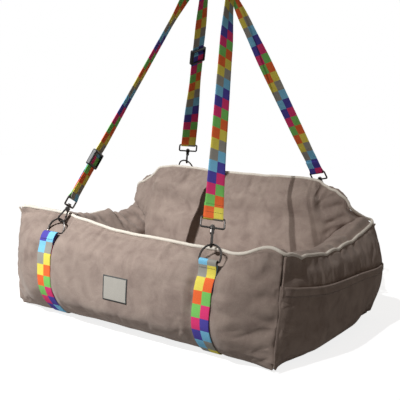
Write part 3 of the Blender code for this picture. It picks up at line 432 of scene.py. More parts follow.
@dataclass(frozen=True)
class SewingThread:
    """Bonded polyester thread, twisted and lightly waxed."""

    name: str
    colour: str

    def build(self) -> bpy.types.Material:
        """Thread with a fine twist."""
        made, tree, shader = blank_material(self.name)
        twist = node(tree, "TexWave", {"bands_direction": "DIAGONAL"}, {
            "Vector": object_place(tree), "Scale": 260.0, "Distortion": 0.5}).outputs["Color"]
        plug(tree, shader, {
            "Base Color": blended(tree, 0.35, linear(self.colour), twist, "MULTIPLY"),
            "Roughness": 0.6})
        return made


class Finish(Enum):
    """Finishes of the bed, each built once."""

    VELOUR = Velour()
    PIPING = PipingTwill()
    CORNER_PIPING = PipingTwill("corner_twill", "d6c8b8", "bcae9f")
    WEBBING = CheckWebbing()
    METAL = PlatedMetal()
    SLIDER = MouldedBlack()
    LABEL = LabelWeave()
    BASE = NonSlipCloth()
    TAUPE_THREAD = SewingThread("taupe_thread", "6f655d")
    DARK_THREAD = SewingThread("dark_thread", "3a342f")

    @lru_cache
    def material(self) -> bpy.types.Material:
        """The finish's material, made when it is first asked for."""
        return self.value.build()


# Meshes


def finished(name: str, bm: bmesh.types.BMesh, finish: Finish) -> bpy.types.Object:
    """Turn a bmesh into a smooth object at the origin with one finish."""
    mesh = bpy.data.meshes.new(name)
    bm.to_mesh(mesh)
    bm.free()
    mesh.shade_smooth()
    mesh.materials.append(finish.material())
    return placed(name, mesh)


def applied(piece: bpy.types.Object) -> bpy.types.Object:
    """Replace a piece's mesh by what its modifiers make, and drop them."""
    graph = bpy.context.evaluated_depsgraph_get()
    graph.update()
    mesh = bpy.data.meshes.new_from_object(piece.evaluated_get(graph))
    piece.modifiers.clear()
    old = piece.data
    piece.data = mesh
    bpy.data.meshes.remove(old)
    return piece


def points_of(mesh: bpy.types.Mesh) -> np.ndarray:
    """A mesh's points as an array of rows."""
    flat = np.empty(len(mesh.vertices) * 3, dtype=np.float64)
    mesh.vertices.foreach_get("co", flat)
    return flat.reshape(-1, 3)


def normals_of(mesh: bpy.types.Mesh) -> np.ndarray:
    """A mesh's point normals as an array of rows."""
    flat = np.empty(len(mesh.vertices) * 3, dtype=np.float32)
    mesh.vertex_normals.foreach_get("vector", flat)
    return flat.reshape(-1, 3).astype(np.float64)


def move_points(mesh: bpy.types.Mesh, points: np.ndarray) -> None:
    """Set a mesh's points from an array of rows."""
    mesh.vertices.foreach_set("co", points.astype(np.float32).ravel())
    mesh.update()


def patch(name: str, columns: int, rows: int, place: Callable[[float, float], Vector],
          thickness: float, finish: Finish, inward: float = -1.0) -> bpy.types.Object:
    """Cloth patch: a flat grid bent to a surface and given a thickness.

    Args:
        name: The piece's name.
        columns: Faces across.
        rows: Faces up.
        place: Point on the surface for a pair of fractions, across and up.
        thickness: Thickness of the cloth.
        finish: The cloth.
        inward: -1 where the thickness grows against the surface's normal, 1 along it, 0 both ways.

    Returns:
        The finished piece, with the fractions as its UV map.
    """
    bm = bmesh.new()
    bm.loops.layers.uv.new("UVMap")
    bmesh.ops.create_grid(bm, x_segments=columns, y_segments=rows, size=0.5, calc_uvs=True)
    for vert in bm.verts:
        vert.co = place(vert.co.x + 0.5, vert.co.y + 0.5)
    made = finished(name, bm, finish)
    wall = made.modifiers.new("cloth thickness", "SOLIDIFY")
    wall.thickness = thickness
    wall.offset = inward
    return applied(made)


@dataclass
class Place:
    """A place along a band of webbing.

    The face points out of the band's outer side.
    """

    point: Vector
    face: Vector
    count: float
    before: float | None = None
    across: Vector | None = None


def ribbon(name: str, places: Sequence[Place], flips: Sequence[bool]) -> bpy.types.Object:
    """Band of webbing along places, with a UV map that counts its checks.

    Args:
        name: The piece's name.
        places: Places along the band.
        flips: For each stretch between two places, whether its two columns change sides.

    Returns:
        The finished band.
    """
    last = len(places) - 1
    bm = bmesh.new()
    bmesh.ops.create_grid(bm, x_segments=8, y_segments=last, size=0.5)
    uv = bm.loops.layers.uv.new("UVMap")
    for face in bm.faces:
        rows = [round((loop.vert.co.y + 0.5) * last) for loop in face.loops]
        low = min(rows)
        for loop, row in zip(face.loops, rows):
            here = places[row]
            count = here.count if row == low or here.before is None else here.before
            side = -loop.vert.co.x if flips[low] else loop.vert.co.x
            loop[uv].uv = (side + 0.5, count)
    for vert in bm.verts:
        row = round((vert.co.y + 0.5) * last)
        here = places[row]
        along = places[min(row + 1, last)].point - places[max(row - 1, 0)].point
        side = here.across or along.cross(here.face).normalized()
        vert.co = here.point + side * (vert.co.x * WEB_WIDTH)
    made = finished(name, bm, Finish.WEBBING)
    wall = made.modifiers.new("webbing thickness", "SOLIDIFY")
    wall.thickness = WEB_THICK
    wall.offset = 0.0
    edge = made.modifiers.new("selvedge", "BEVEL")
    edge.width = WEB_THICK * 0.3
    edge.segments = 2
    edge.limit_method = "ANGLE"
    edge.angle_limit = math.radians(60.0)
    return applied(made)


def cord(name: str, points: Sequence[Vector], radius: float, finish: Finish,
         closed: bool = False, sides: int = 10) -> bpy.types.Object:
    """Round cord along points, made from a curve and turned into a mesh."""
    curve = bpy.data.curves.new(name, "CURVE")
    curve.dimensions = "3D"
    curve.bevel_depth = radius
    curve.bevel_resolution = max((sides - 4) // 2, 1)
    curve.use_fill_caps = not closed
    spline = curve.splines.new("POLY")
    spline.points.add(len(points) - 1)
    for place, point in zip(spline.points, points):
        place.co = (*point, 1.0)
    spline.use_cyclic_u = closed
    guide = placed(name + "_line", curve)
    mesh = bpy.data.meshes.new_from_object(guide)
    mesh.name = name
    bpy.data.objects.remove(guide, do_unlink=True)
    bpy.data.curves.remove(curve)
    mesh.shade_smooth()
    mesh.materials.clear()
    mesh.materials.append(finish.material())
    return placed(name, mesh)


@dataclass(frozen=True)
class Thread:
    """Sewing thread: distance from stitch to stitch, length of one, half its thickness, finish."""

    pitch: float
    size: float
    radius: float
    finish: Finish


HEM_THREAD = Thread(0.0036, 0.0026, 0.0004, Finish.TAUPE_THREAD)
TACK_THREAD = Thread(0.0032, 0.0024, 0.00045, Finish.DARK_THREAD)


def stitches(name: str, line: Sequence[Vector], thread: Thread) -> bpy.types.Object:
    """One mesh with a row of stitches along a line on the cloth's surface."""
    bm = bmesh.new()
    reach = 0.0
    wanted = thread.pitch / 2
    for start, end in zip(line, line[1:]):
        length = (end - start).length
        while wanted <= reach + length and length > 0.0:
            middle = start.lerp(end, (wanted - reach) / length)
            turn = (end - start).to_track_quat("X", "Z").to_matrix().to_4x4()
            shape = Matrix.Diagonal((thread.size / 2, thread.radius, thread.radius, 1.0))
            bmesh.ops.create_icosphere(
                bm, subdivisions=1, radius=1.0, matrix=Matrix.Translation(middle) @ turn @ shape)
            wanted += thread.pitch
        reach += length
    return finished(name, bm, thread.finish)


# Seams of the cover


@dataclass(frozen=True)
class Seams:
    """Lines of the bed's top seams, which the cushions, the piping and the webbing all follow."""

    front: Knots = (
        (-0.325, 0.2335), (-0.255, 0.2315), (-0.197, 0.2285), (-0.135, 0.2230), (-0.060, 0.2130),
        (0.0, 0.2095), (0.080, 0.2090), (0.150, 0.2085), (0.197, 0.2055), (0.235, 0.2045),
        (0.280, 0.2165), (0.325, 0.2215))
    left: Knots = (
        (-0.235, 0.2335), (-0.160, 0.2140), (-0.080, 0.1980), (0.0, 0.1920), (0.080, 0.1920),
        (0.170, 0.2040), (0.250, 0.2308))
    right: Knots = (
        (-0.235, 0.2215), (-0.160, 0.2080), (-0.080, 0.1990), (0.0, 0.1980), (0.080, 0.2040),
        (0.170, 0.2160), (0.250, 0.2308))
    dent: float = 0.013
    front_belly: float = 0.049
    side_belly: float = 0.031
    back_half: float = 0.312
    back_top: float = 0.329
    back_sag: float = 0.010
    shoulder: float = 0.236
    back_y: float = 0.176
    rear_belly: float = 0.042

    def level_x(self, x: float) -> float:
        """Place across the bed, held level across the width of a band of webbing."""
        if abs(abs(x) - WRAP_X) < WEB_WIDTH / 2 + 0.0015:
            return math.copysign(WRAP_X, x)
        return x

    def front_ridge(self, x: float) -> float:
        """Height of the front wall's top seam."""
        return through(self.front, self.level_x(x))

    def front_y(self, x: float) -> float:
        """Depth of the front wall's top seam, which the hooks press inward."""
        away = abs(abs(self.level_x(x)) - WRAP_X)
        return FRONT_Y + self.dent * (1.0 - smoothstep(0.0, 0.055, away))

    def side_ridge(self, y: float, side: float) -> float:
        """Height of a side wall's top seam."""
        return through(self.left if side < 0.0 else self.right, y)

    def back_ridge(self, x: float) -> float:
        """Height of the backrest's top seam."""
        reach = abs(x)
        if reach >= self.back_half:
            return mix(self.shoulder, CORNER_TOP + 0.0008, smoothstep(self.back_half, 0.3205, reach))
        arch = (1.0 - (reach / self.back_half) ** 3.5) ** (1.0 / 3.5)
        sag = self.back_sag * max(1.0 - (self.level_x(x) / 0.19) ** 2, 0.0)
        return mix(self.shoulder, self.back_top - sag, arch)

    def back_seam_y(self, x: float) -> float:
        """Depth of the backrest's top seam, which runs out to the rear corners."""
        return mix(self.back_y, REAR_Y - 0.003, smoothstep(0.292, 0.3205, abs(x)))

    def foot(self, x: float) -> float:
        """Height of the front and rear walls' foot."""
        return mix(FOOT_LIFT, 0.0004, abs(self.level_x(x) / HALF_WIDTH) ** 5)

    def front_outer(self, x: float, z: float) -> tuple[float, float]:
        """Point (y, z) on the front wall's outer panel, under the webbing."""
        foot = self.foot(x)
        t = (z - foot) / (self.front_ridge(x) - foot)
        end = abs(self.level_x(x) / HALF_WIDTH)
        belly = self.front_belly * (1.0 - end**6)
        swell = math.sin(math.pi * t)
        out = mix(mix(-0.034, -0.004, end**5), FRONT_Y - self.front_y(x), t)
        out += belly * swell**0.72 - 0.006 * swell**0.5
        return FRONT_Y - out, z

    def side_outer(self, y: float, side: float, z: float) -> float:
        """How far out from its seam a side wall's outer panel stands at a height."""
        middle = (FRONT_Y + REAR_Y) / 2
        end = abs((y - middle) / (REAR_Y - middle))
        foot = mix(FOOT_LIFT, 0.0004, end**5)
        t = min(max((z - foot) / (self.side_ridge(y, side) - foot), 0.0), 1.0)
        swell = math.sin(math.pi * t)
        return mix(mix(-0.026, -0.004, end**5), 0.0, t) + self.side_belly * (1 - end**4) * swell**0.72

    def rear_outer(self, x: float, z: float) -> tuple[float, float]:
        """Point (y, z) on the backrest's rear panel, under the webbing."""
        foot = self.foot(x)
        t = (z - foot) / (self.back_ridge(x) - foot)
        end = abs(self.level_x(x) / HALF_WIDTH) ** 6
        swell = math.sin(math.pi * t)
        y = mix(REAR_Y - mix(0.030, 0.002, end), self.back_seam_y(x), t**2.2)
        return y + self.rear_belly * (1.0 - end) * swell**0.8 - 0.004 * swell**0.5, z


SEAMS = Seams()


@dataclass(frozen=True)
class Sag:
    """How the stuffing has settled: the walls stand out further low down than their seams do.

    Each profile is a row of pairs, a height and how far the cover stands out there.
    """

    front_left: Knots = (
        (0.0, 0.022), (0.02, 0.030), (0.04, 0.036), (0.065, 0.039), (0.09, 0.039), (0.122, 0.036),
        (0.15, 0.033), (0.175, 0.026), (0.195, 0.008), (0.205, 0.0))
    front_right: Knots = (
        (0.0, 0.020), (0.02, 0.028), (0.04, 0.032), (0.065, 0.032), (0.085, 0.028), (0.11, 0.022),
        (0.137, 0.018), (0.163, 0.014), (0.182, 0.005), (0.195, 0.0))
    side_middle: Knots = (
        (0.0, 0.040), (0.01, 0.052), (0.02, 0.051), (0.05, 0.043), (0.08, 0.031), (0.11, 0.022),
        (0.14, 0.017), (0.17, 0.014), (0.19, 0.012), (0.24, 0.012))
    side_front: Knots = (
        (0.0, 0.015), (0.05, 0.013), (0.14, 0.012), (0.24, 0.012))
    side_rear: Knots = (
        (0.0, 0.018), (0.03, 0.026), (0.08, 0.036), (0.12, 0.036), (0.145, 0.033), (0.18, 0.025),
        (0.225, 0.011), (0.24, 0.006))
    firm_from: float = -0.2800
    firm_by: float = 0.0170
    left_share: float = 0.72
    rear_out: float = 0.012
    right_shoulder: float = 0.020
    left_shoulder: Knots = (
        (0.19, 0.0), (0.215, 0.016), (0.235, 0.028), (0.260, 0.018), (0.285, 0.003), (0.325, -0.006))
    rear_flat: float = 0.78
    tucks: tuple[float, ...] = (-0.166, -0.046, 0.021, 0.098)
    tuck_depth: float = 0.0075
    tuck_width: float = 0.011
    left_rim: Knots = (
        (-0.235, 0.0), (-0.06, 0.0), (0.0, -0.002), (0.05, 0.003), (0.09, -0.012), (0.16, -0.017),
        (0.21, -0.011), (0.25, 0.0))
    ear_rise: float = 0.009

    def move(self, points: np.ndarray) -> np.ndarray:
        """Points (x, y, z) of the cover, moved to where the settled stuffing holds them."""
        x, y, z = points.T
        moved = points.copy()
        moved[:, 1] -= self.front_out(x, y, z)
        moved[:, 0] += self.side_out(x, y, z)
        low = 1.0 - ease(0.15, 0.22, z)
        moved[:, 1] += self.rear_out * low * ease(0.21, 0.245, y) * ease(0.23, 0.31, np.abs(x))
        behind = ease(0.08, 0.12, y)
        moved[:, 0] -= self.right_shoulder * ease(0.232, 0.262, z) * ease(0.205, 0.275, x) * behind
        moved[:, 0] -= curve(self.left_shoulder, z) * ease(-0.215, -0.285, x) * behind
        flat = self.rear_flat * ease(0.15, 0.26, np.abs(x)) * ease(0.232, 0.262, z)
        moved[:, 1] -= flat * np.maximum(y - SEAMS.back_y, 0.0)
        beyond = np.maximum(0.0, self.firm_from - moved[:, 1])
        moved[:, 1] += beyond - self.firm_by * (1.0 - np.exp(-beyond / self.firm_by))
        moved[:, 2] += self.rim_rise(x, y, z)
        return moved

    def front_out(self, x: np.ndarray, y: np.ndarray, z: np.ndarray) -> np.ndarray:
        """How far forward the front wall's face stands: one profile at each end, blended between."""
        share = ease(-0.24, 0.24, x)
        front = (1.0 - share) * curve(self.front_left, z) + share * curve(self.front_right, z)
        ends = 1.0 - 0.80 * ease(0.225, 0.318, np.abs(x))
        return front * ends * ease(-0.165, -0.208, y)

    def side_out(self, x: np.ndarray, y: np.ndarray, z: np.ndarray) -> np.ndarray:
        """How far sideways the side walls' faces stand, from profiles near the front, middle and rear."""
        near = ease(-0.10, -0.225, y)
        far = ease(0.07, 0.235, y)
        middle = (1.0 - near) * (1.0 - far)
        total = near + far + middle
        side = near * curve(self.side_front, z) + far * curve(self.side_rear, z)
        side = (side + middle * curve(self.side_middle, z)) / total
        side *= np.where(x < 0.0, self.left_share, 1.0)
        return np.sign(x) * side * ease(0.255, 0.322, np.abs(x))

    def rim_rise(self, x: np.ndarray, y: np.ndarray, z: np.ndarray) -> np.ndarray:
        """How far places near the side walls' rims rise: tucks, the front ear, the low left rear."""
        rim = ease(0.170, 0.200, z) * (1.0 - ease(0.232, 0.246, z)) * ease(0.245, 0.300, x)
        seam = rim * ease(0.280, 0.315, x) * ease(-0.226, -0.200, y) * (1.0 - ease(0.18, 0.21, y))
        made = np.zeros(len(x))
        for tuck in self.tucks:
            made -= self.tuck_depth * seam * np.exp(-np.abs(y - tuck) / self.tuck_width)
        ear = ease(0.262, 0.296, x) * (1.0 - ease(0.306, 0.324, x)) * (1.0 - ease(-0.215, -0.190, y))
        made += self.ear_rise * ear * ease(0.17, 0.205, z)
        made += curve(self.left_rim, y) * ease(0.12, 0.18, z) * ease(-0.245, -0.285, x)
        return made

    def point(self, place: Vector) -> Vector:
        """One moved point."""
        return Vector(self.move(np.array([place[:]]))[0])


@lru_cache
def drawn(knots: Knots) -> tuple[np.ndarray, np.ndarray]:
    """Places and heights of a smooth line through knots, finely stepped."""
    places = np.linspace(knots[0][0], knots[-1][0], 200)
    return places, np.array([through(knots, place) for place in places])


def curve(knots: Knots, values: np.ndarray) -> np.ndarray:
    """Heights of a smooth line through knots, for an array of places."""
    places, heights = drawn(knots)
    return np.interp(values, places, heights)


SAG = Sag()


# Stuffed cushions


Line = tuple[tuple[float, float, float], ...]


def nearest(points: np.ndarray, corners: Line) -> tuple[np.ndarray, np.ndarray, float]:
    """Nearest place on a line of corners for each point.

    Args:
        points: Rows of (x, y, z).
        corners: The line's corners.

    Returns:
        How far each point is from the line, how far along the line its nearest place is, and the
        line's length.
    """
    line = np.array(corners)
    best = np.full(len(points), np.inf)
    place = np.zeros(len(points))
    reach = 0.0
    for start, end in zip(line, line[1:]):
        span = np.linalg.norm(end - start)
        along = (end - start) / span
        t = np.clip((points - start) @ along, 0.0, span)
        away = np.linalg.norm(points - start - t[:, None] * along, axis=1)
        place = np.where(away < best, reach + t, place)
        best = np.minimum(away, best)
        reach += span
    return best, place, reach


@dataclass(frozen=True)
class Crease:
    """A fold pressed into a cushion, along a line of (x, y, z) points."""

    line: Line
    depth: float
    width: float
    taper: float = 0.5

    def press(self, points: np.ndarray) -> np.ndarray:
        """How far each point sinks (above 0) or rises, eased to nothing at the line's ends."""
        away, place, total = nearest(points, self.line)
        share = place / total
        fade = np.clip(np.minimum(share, 1.0 - share) / self.taper * 2.0, 0.0, 1.0)
        return self.depth * fade * np.exp(-((away / self.width) ** 2))


@dataclass(frozen=True)
class Gathers:
    """Small folds that run away from a seam, where the cover's fullness was eased into the stitches."""

    line: Line
    pitch: float
    depth: float
    reach: float
    seed: float = 0.0

    def press(self, points: np.ndarray) -> np.ndarray:
        """How far each point sinks or rises: strongest a little off the seam, gone at its reach."""
        away, place, total = nearest(points, self.line)
        turns = 2.0 * math.pi * place / self.pitch + self.seed
        spread = 0.55 * np.sin(turns + 1.6 * np.sin(turns * 0.31 + 2.0 * self.seed))
        spread += 0.45 * np.sin(turns * 0.53 + 4.0 * away / self.reach + 3.1 * self.seed)
        spread *= 0.65 + 0.35 * np.sin(turns * 0.173 + 5.0 * self.seed)
        near = np.clip(away / (0.22 * self.reach), 0.0, 1.0)
        ends = np.clip(np.minimum(place, total - place) / (1.5 * self.pitch), 0.0, 1.0)
        return self.depth * spread * near * ends * np.exp(-((away / self.reach) ** 2) * 1.6)


def hills(points: np.ndarray, size: float, seed: float) -> np.ndarray:
    """Slow unevenness of the stuffing, between -1 and 1, for hills of about one size."""
    x, y, z = (points * (2.0 * math.pi / size)).T
    made = np.sin(x + 1.7 * np.sin(0.61 * z + seed) + seed)
    made += np.sin(0.83 * y + 1.3 * np.sin(0.57 * x - seed) + 2.0 * seed)
    made += np.sin(1.13 * z + 1.5 * np.sin(0.49 * x + 0.67 * y + 3.0 * seed) + 4.0 * seed)
    return made / 3.0


SEAT_EDGE = (0.07, 0.12)
SEAM_HELD = 0.0065
FOOT_HELD = 0.016
MITRE_HELD = -0.004


@dataclass
class Cushion:
    """One stuffed cushion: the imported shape, puffed by a cloth simulation between its seams."""

    name: str
    body: str = "bed"
    voxel: float = 0.005
    pressure: float = 3.0
    growth: float = 0.05
    cap: float = 0.007
    fill: float = 0.75
    creases: tuple[Crease | Gathers, ...] = ()
    unevenness: float = 0.0011
    frames: int = 20
    cloth: tuple[tuple[str, float], ...] = (
        ("quality", 5), ("mass", 0.25), ("tension_stiffness", 12.0), ("compression_stiffness", 6.0),
        ("shear_stiffness", 4.0), ("bending_stiffness", 0.15), ("air_damping", 2.0),
        ("pin_stiffness", 1.0))

    def held(self, points: np.ndarray) -> np.ndarray:
        """Whether the cover is sewn or pressed fast at each point."""
        return points[:, 2] < FOOT_HELD

    def sewn(self, points: np.ndarray, seam: Sequence[tuple[float, float, float]]) -> np.ndarray:
        """Whether each point is held by the top seam or by the foot."""
        return (near_line(points, np.array(seam)) < SEAM_HELD) | (points[:, 2] < FOOT_HELD)

    def room(self, points: np.ndarray) -> np.ndarray:
        """Share of the simulated swelling that a place has room for."""
        return np.ones(len(points))

    def shape(self, points: np.ndarray) -> np.ndarray:
        """Unevenness of this cushion's stuffing, as a distance along the normals."""
        seed = float(len(self.name))
        return self.unevenness * (hills(points, 0.150, seed) + 0.55 * hills(points, 0.062, seed + 1.0))

    def settled(self, points: np.ndarray) -> np.ndarray:
        """Where the settled stuffing holds the cover's points."""
        return SAG.move(points)

    def remeshed(self) -> bpy.types.Object:
        """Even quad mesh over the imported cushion."""
        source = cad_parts[self.name]
        mesh = source.data.copy()
        mesh.transform(source.matrix_world)
        bm = bmesh.new()
        bm.from_mesh(mesh)
        bmesh.ops.remove_doubles(bm, verts=bm.verts, dist=0.00002)
        bmesh.ops.recalc_face_normals(bm, faces=bm.faces)
        bm.to_mesh(mesh)
        bm.free()
        mesh.materials.clear()
        mesh.materials.append(Finish.VELOUR.material())
        made = placed(f"{self.name}_cover", mesh)
        step = made.modifiers.new("even mesh", "REMESH")
        step.mode = "VOXEL"
        step.voxel_size = self.voxel
        step.use_smooth_shade = True
        return applied(made)

    def puff(self, made: bpy.types.Object) -> None:
        """Let the cover swell for a moment under the stuffing's pressure."""
        before = points_of(made.data)
        held = self.held(before)
        group = made.vertex_groups.new(name="held")
        group.add([int(i) for i in np.nonzero(held)[0]], 1.0, "REPLACE")
        cloth = made.modifiers.new("stuffing", "CLOTH")
        for name, value in self.cloth:
            setattr(cloth.settings, name, value)
        cloth.settings.use_pressure = True
        cloth.settings.uniform_pressure_force = self.pressure
        cloth.settings.shrink_min = -self.growth
        cloth.settings.vertex_group_mass = "held"
        cloth.settings.effector_weights.gravity = 0.0
        cloth.collision_settings.use_collision = False
        cloth.point_cache.frame_start = 1
        cloth.point_cache.frame_end = self.frames
        scene = bpy.context.scene
        for step in range(1, self.frames + 1):
            scene.frame_set(step)
            bpy.context.view_layer.update()
        applied(made)
        scene.frame_set(1)
        after = points_of(made.data)
        moved = (after - before) * (~held * self.room(before))[:, None]
        length = np.linalg.norm(moved, axis=1, keepdims=True)
        limit = self.cap * np.tanh(length / self.cap) / np.maximum(length, 1e-9)
        move_points(made.data, before + moved * limit)

    def build(self) -> bpy.types.Object:
        """Cover of the cushion, dressed, padded and riding on its body."""
        made = self.remeshed()
        self.puff(made)
        finer = made.modifiers.new("finer", "SUBSURF")
        finer.levels = 1
        finer.render_levels = 1
        applied(made)
        points = points_of(made.data)
        normals = normals_of(made.data)
        sink = sum((crease.press(points) for crease in self.creases), np.zeros(len(points)))
        points += normals * (self.shape(points) - sink)[:, None]
        move_points(made.data, self.settled(points))
        made.data.shade_smooth()
        mount(made, self.body, self.name)
        return made


def near_line(points: np.ndarray, line: np.ndarray) -> np.ndarray:
    """Distance of each point from the nearest of a line's points."""
    best = np.full(len(points), 1e9)
    for spot in line:
        best = np.minimum(best, np.linalg.norm(points - spot, axis=1))
    return best


def on_webbing(points: np.ndarray, spare: float = 0.0025) -> np.ndarray:
    """Whether each point lies under one of the two bands of webbing."""
    return np.abs(np.abs(points[:, 0]) - WRAP_X) < WEB_WIDTH / 2 + spare


FRONT_FOLDS = (
    Crease(((-0.300, -0.241, 0.2265), (-0.240, -0.241, 0.2245), (-0.150, -0.241, 0.2180),
            (-0.060, -0.241, 0.2065), (0.0, -0.241, 0.2030), (0.080, -0.241, 0.2025),
            (0.150, -0.241, 0.2020), (0.235, -0.241, 0.1980), (0.290, -0.241, 0.2110)),
           0.0034, 0.0045, 0.12),
    Gathers(((-0.31, -0.235, 0.233), (-0.20, -0.232, 0.228), (0.0, -0.235, 0.209),
             (0.15, -0.235, 0.208), (0.235, -0.235, 0.204), (0.31, -0.235, 0.220)),
            0.026, 0.0026, 0.048, 0.7),
    Gathers(((0.325, -0.235, 0.03), (0.325, -0.235, 0.20)), 0.034, 0.0024, 0.060, 2.2),
    Gathers(((-0.325, -0.235, 0.03), (-0.325, -0.235, 0.21)), 0.040, 0.0012, 0.055, 4.1),
    Gathers(((0.175, -0.262, 0.20), (0.175, -0.282, 0.12), (0.175, -0.262, 0.03)),
            0.028, 0.0013, 0.040, 1.3),
    Gathers(((0.219, -0.262, 0.20), (0.219, -0.282, 0.12), (0.219, -0.262, 0.03)),
            0.031, 0.0016, 0.045, 3.4),
    Gathers(((-0.175, -0.262, 0.21), (-0.175, -0.282, 0.12), (-0.175, -0.262, 0.03)),
            0.030, 0.0012, 0.040, 5.3),
    Crease(((0.222, -0.262, 0.190), (0.250, -0.278, 0.168), (0.280, -0.272, 0.160)), 0.0052, 0.010),
    Crease(((0.228, -0.250, 0.196), (0.262, -0.262, 0.196), (0.292, -0.256, 0.204)), 0.0060, 0.009),
    Crease(((0.314, -0.244, 0.190), (0.300, -0.258, 0.176), (0.282, -0.272, 0.150)), 0.0064, 0.009),
    Crease(((0.296, -0.240, 0.218), (0.300, -0.252, 0.200), (0.292, -0.262, 0.176)), -0.0060, 0.008),
    Crease(((0.316, -0.246, 0.150), (0.300, -0.262, 0.138), (0.285, -0.272, 0.120)), 0.0048, 0.009),
    Crease(((0.318, -0.246, 0.085), (0.300, -0.262, 0.070), (0.280, -0.268, 0.060)), 0.0048, 0.009),
    Crease(((0.230, -0.270, 0.100), (0.255, -0.280, 0.076), (0.290, -0.268, 0.060)), 0.0044, 0.012),
    Crease(((-0.168, -0.268, 0.165), (-0.130, -0.281, 0.130), (-0.105, -0.284, 0.085)), 0.0030, 0.014),
    Crease(((0.168, -0.266, 0.165), (0.128, -0.280, 0.140), (0.085, -0.284, 0.122)), 0.0040, 0.014),
    Crease(((0.060, -0.262, 0.052), (0.110, -0.268, 0.060), (0.165, -0.262, 0.048)), 0.0038, 0.012),
)
LEFT_FOLDS = (
    Gathers(((-0.325, -0.22, 0.232), (-0.325, -0.08, 0.198), (-0.325, 0.06, 0.191),
             (-0.325, 0.17, 0.204)), 0.036, 0.0042, 0.060, 1.1),
    Crease(((-0.300, 0.06, 0.196), (-0.262, 0.075, 0.176), (-0.240, 0.085, 0.140)), 0.0070, 0.012),
    Crease(((-0.300, 0.10, 0.200), (-0.262, 0.110, 0.182), (-0.240, 0.118, 0.150)), 0.0070, 0.012),
    Crease(((-0.300, 0.005, 0.194), (-0.262, 0.02, 0.172), (-0.240, 0.03, 0.130)), 0.0055, 0.014),
)
RIGHT_FOLDS = (
    Gathers(((0.325, -0.225, 0.221), (0.325, -0.16, 0.208), (0.325, -0.08, 0.199),
             (0.325, 0.0, 0.198), (0.325, 0.08, 0.204), (0.325, 0.17, 0.216), (0.325, 0.24, 0.229)),
            0.052, 0.0016, 0.050, 0.4),
    Gathers(((0.325, -0.235, 0.03), (0.325, -0.235, 0.20)), 0.030, 0.0042, 0.060, 3.0),
    Crease(((0.330, -0.222, 0.192), (0.340, -0.200, 0.186), (0.352, -0.165, 0.176)), 0.0070, 0.011),
    Crease(((0.340, -0.170, 0.196), (0.352, -0.110, 0.182), (0.352, -0.040, 0.176)), 0.0045, 0.012),
    Crease(((0.345, 0.00, 0.176), (0.352, 0.03, 0.158), (0.350, 0.055, 0.140)), 0.0030, 0.010),
    Crease(((0.340, 0.195, 0.190), (0.346, 0.170, 0.168), (0.350, 0.145, 0.150)), 0.0040, 0.009),
    Crease(((0.340, 0.220, 0.200), (0.344, 0.205, 0.178), (0.350, 0.190, 0.156)), 0.0030, 0.008),
)
BACK_FOLDS = (
    Gathers(((-0.300, 0.176, 0.262), (-0.285, 0.176, 0.300), (-0.255, 0.176, 0.318),
             (-0.200, 0.176, 0.323), (-0.100, 0.176, 0.321), (0.0, 0.176, 0.319),
             (0.100, 0.176, 0.321), (0.200, 0.176, 0.323), (0.255, 0.176, 0.318),
             (0.285, 0.176, 0.300), (0.300, 0.176, 0.262)), 0.032, 0.0040, 0.060, 2.6),
    Crease(((0.290, 0.172, 0.298), (0.272, 0.155, 0.288), (0.246, 0.140, 0.270)), 0.0090, 0.0065),
    Crease(((0.304, 0.174, 0.272), (0.284, 0.158, 0.266), (0.258, 0.142, 0.254)), 0.0086, 0.0065),
    Crease(((0.308, 0.178, 0.246), (0.284, 0.155, 0.238), (0.252, 0.136, 0.222)), 0.0094, 0.0070),
    Crease(((0.262, 0.168, 0.314), (0.246, 0.150, 0.300), (0.232, 0.136, 0.280)), 0.0046, 0.0075),
    Crease(((0.300, 0.165, 0.228), (0.276, 0.146, 0.214), (0.252, 0.130, 0.196)), 0.0052, 0.0080),
    Crease(((-0.255, 0.165, 0.305), (-0.235, 0.140, 0.270), (-0.222, 0.125, 0.230)), 0.0042, 0.012),
    Crease(((-0.190, 0.165, 0.316), (-0.180, 0.140, 0.280), (-0.178, 0.125, 0.235)), 0.0034, 0.014),
    Crease(((0.085, 0.165, 0.315), (0.098, 0.140, 0.280), (0.104, 0.125, 0.240)), 0.0034, 0.014),
)


class FrontBolster(Cushion):
    """Front wall, with the webbing pressed into its face."""

    def held(self, points: np.ndarray) -> np.ndarray:
        """Top seam, foot, mitred ends and the strips under the webbing."""
        xs = np.linspace(-HALF_WIDTH, HALF_WIDTH, 131)
        held = self.sewn(points, [(x, SEAMS.front_y(x), SEAMS.front_ridge(x)) for x in xs])
        held |= (points[:, 1] - FRONT_Y) - (HALF_WIDTH - np.abs(points[:, 0])) > MITRE_HELD
        return held | (on_webbing(points) & (points[:, 1] < FRONT_Y + 0.010))

    def room(self, points: np.ndarray) -> np.ndarray:
        """Full on the outside; less inside, low down, where the seat cushion stands."""
        inside = ease(FRONT_Y + 0.03, FRONT_Y + 0.06, points[:, 1])
        room = 1.0 - inside * (1.0 - ease(*SEAT_EDGE, points[:, 2]))
        beside = np.abs(np.abs(points[:, 0]) - WRAP_X) - WEB_WIDTH / 2
        return room * (inside + (1.0 - inside) * ease(0.0, 0.045, beside))


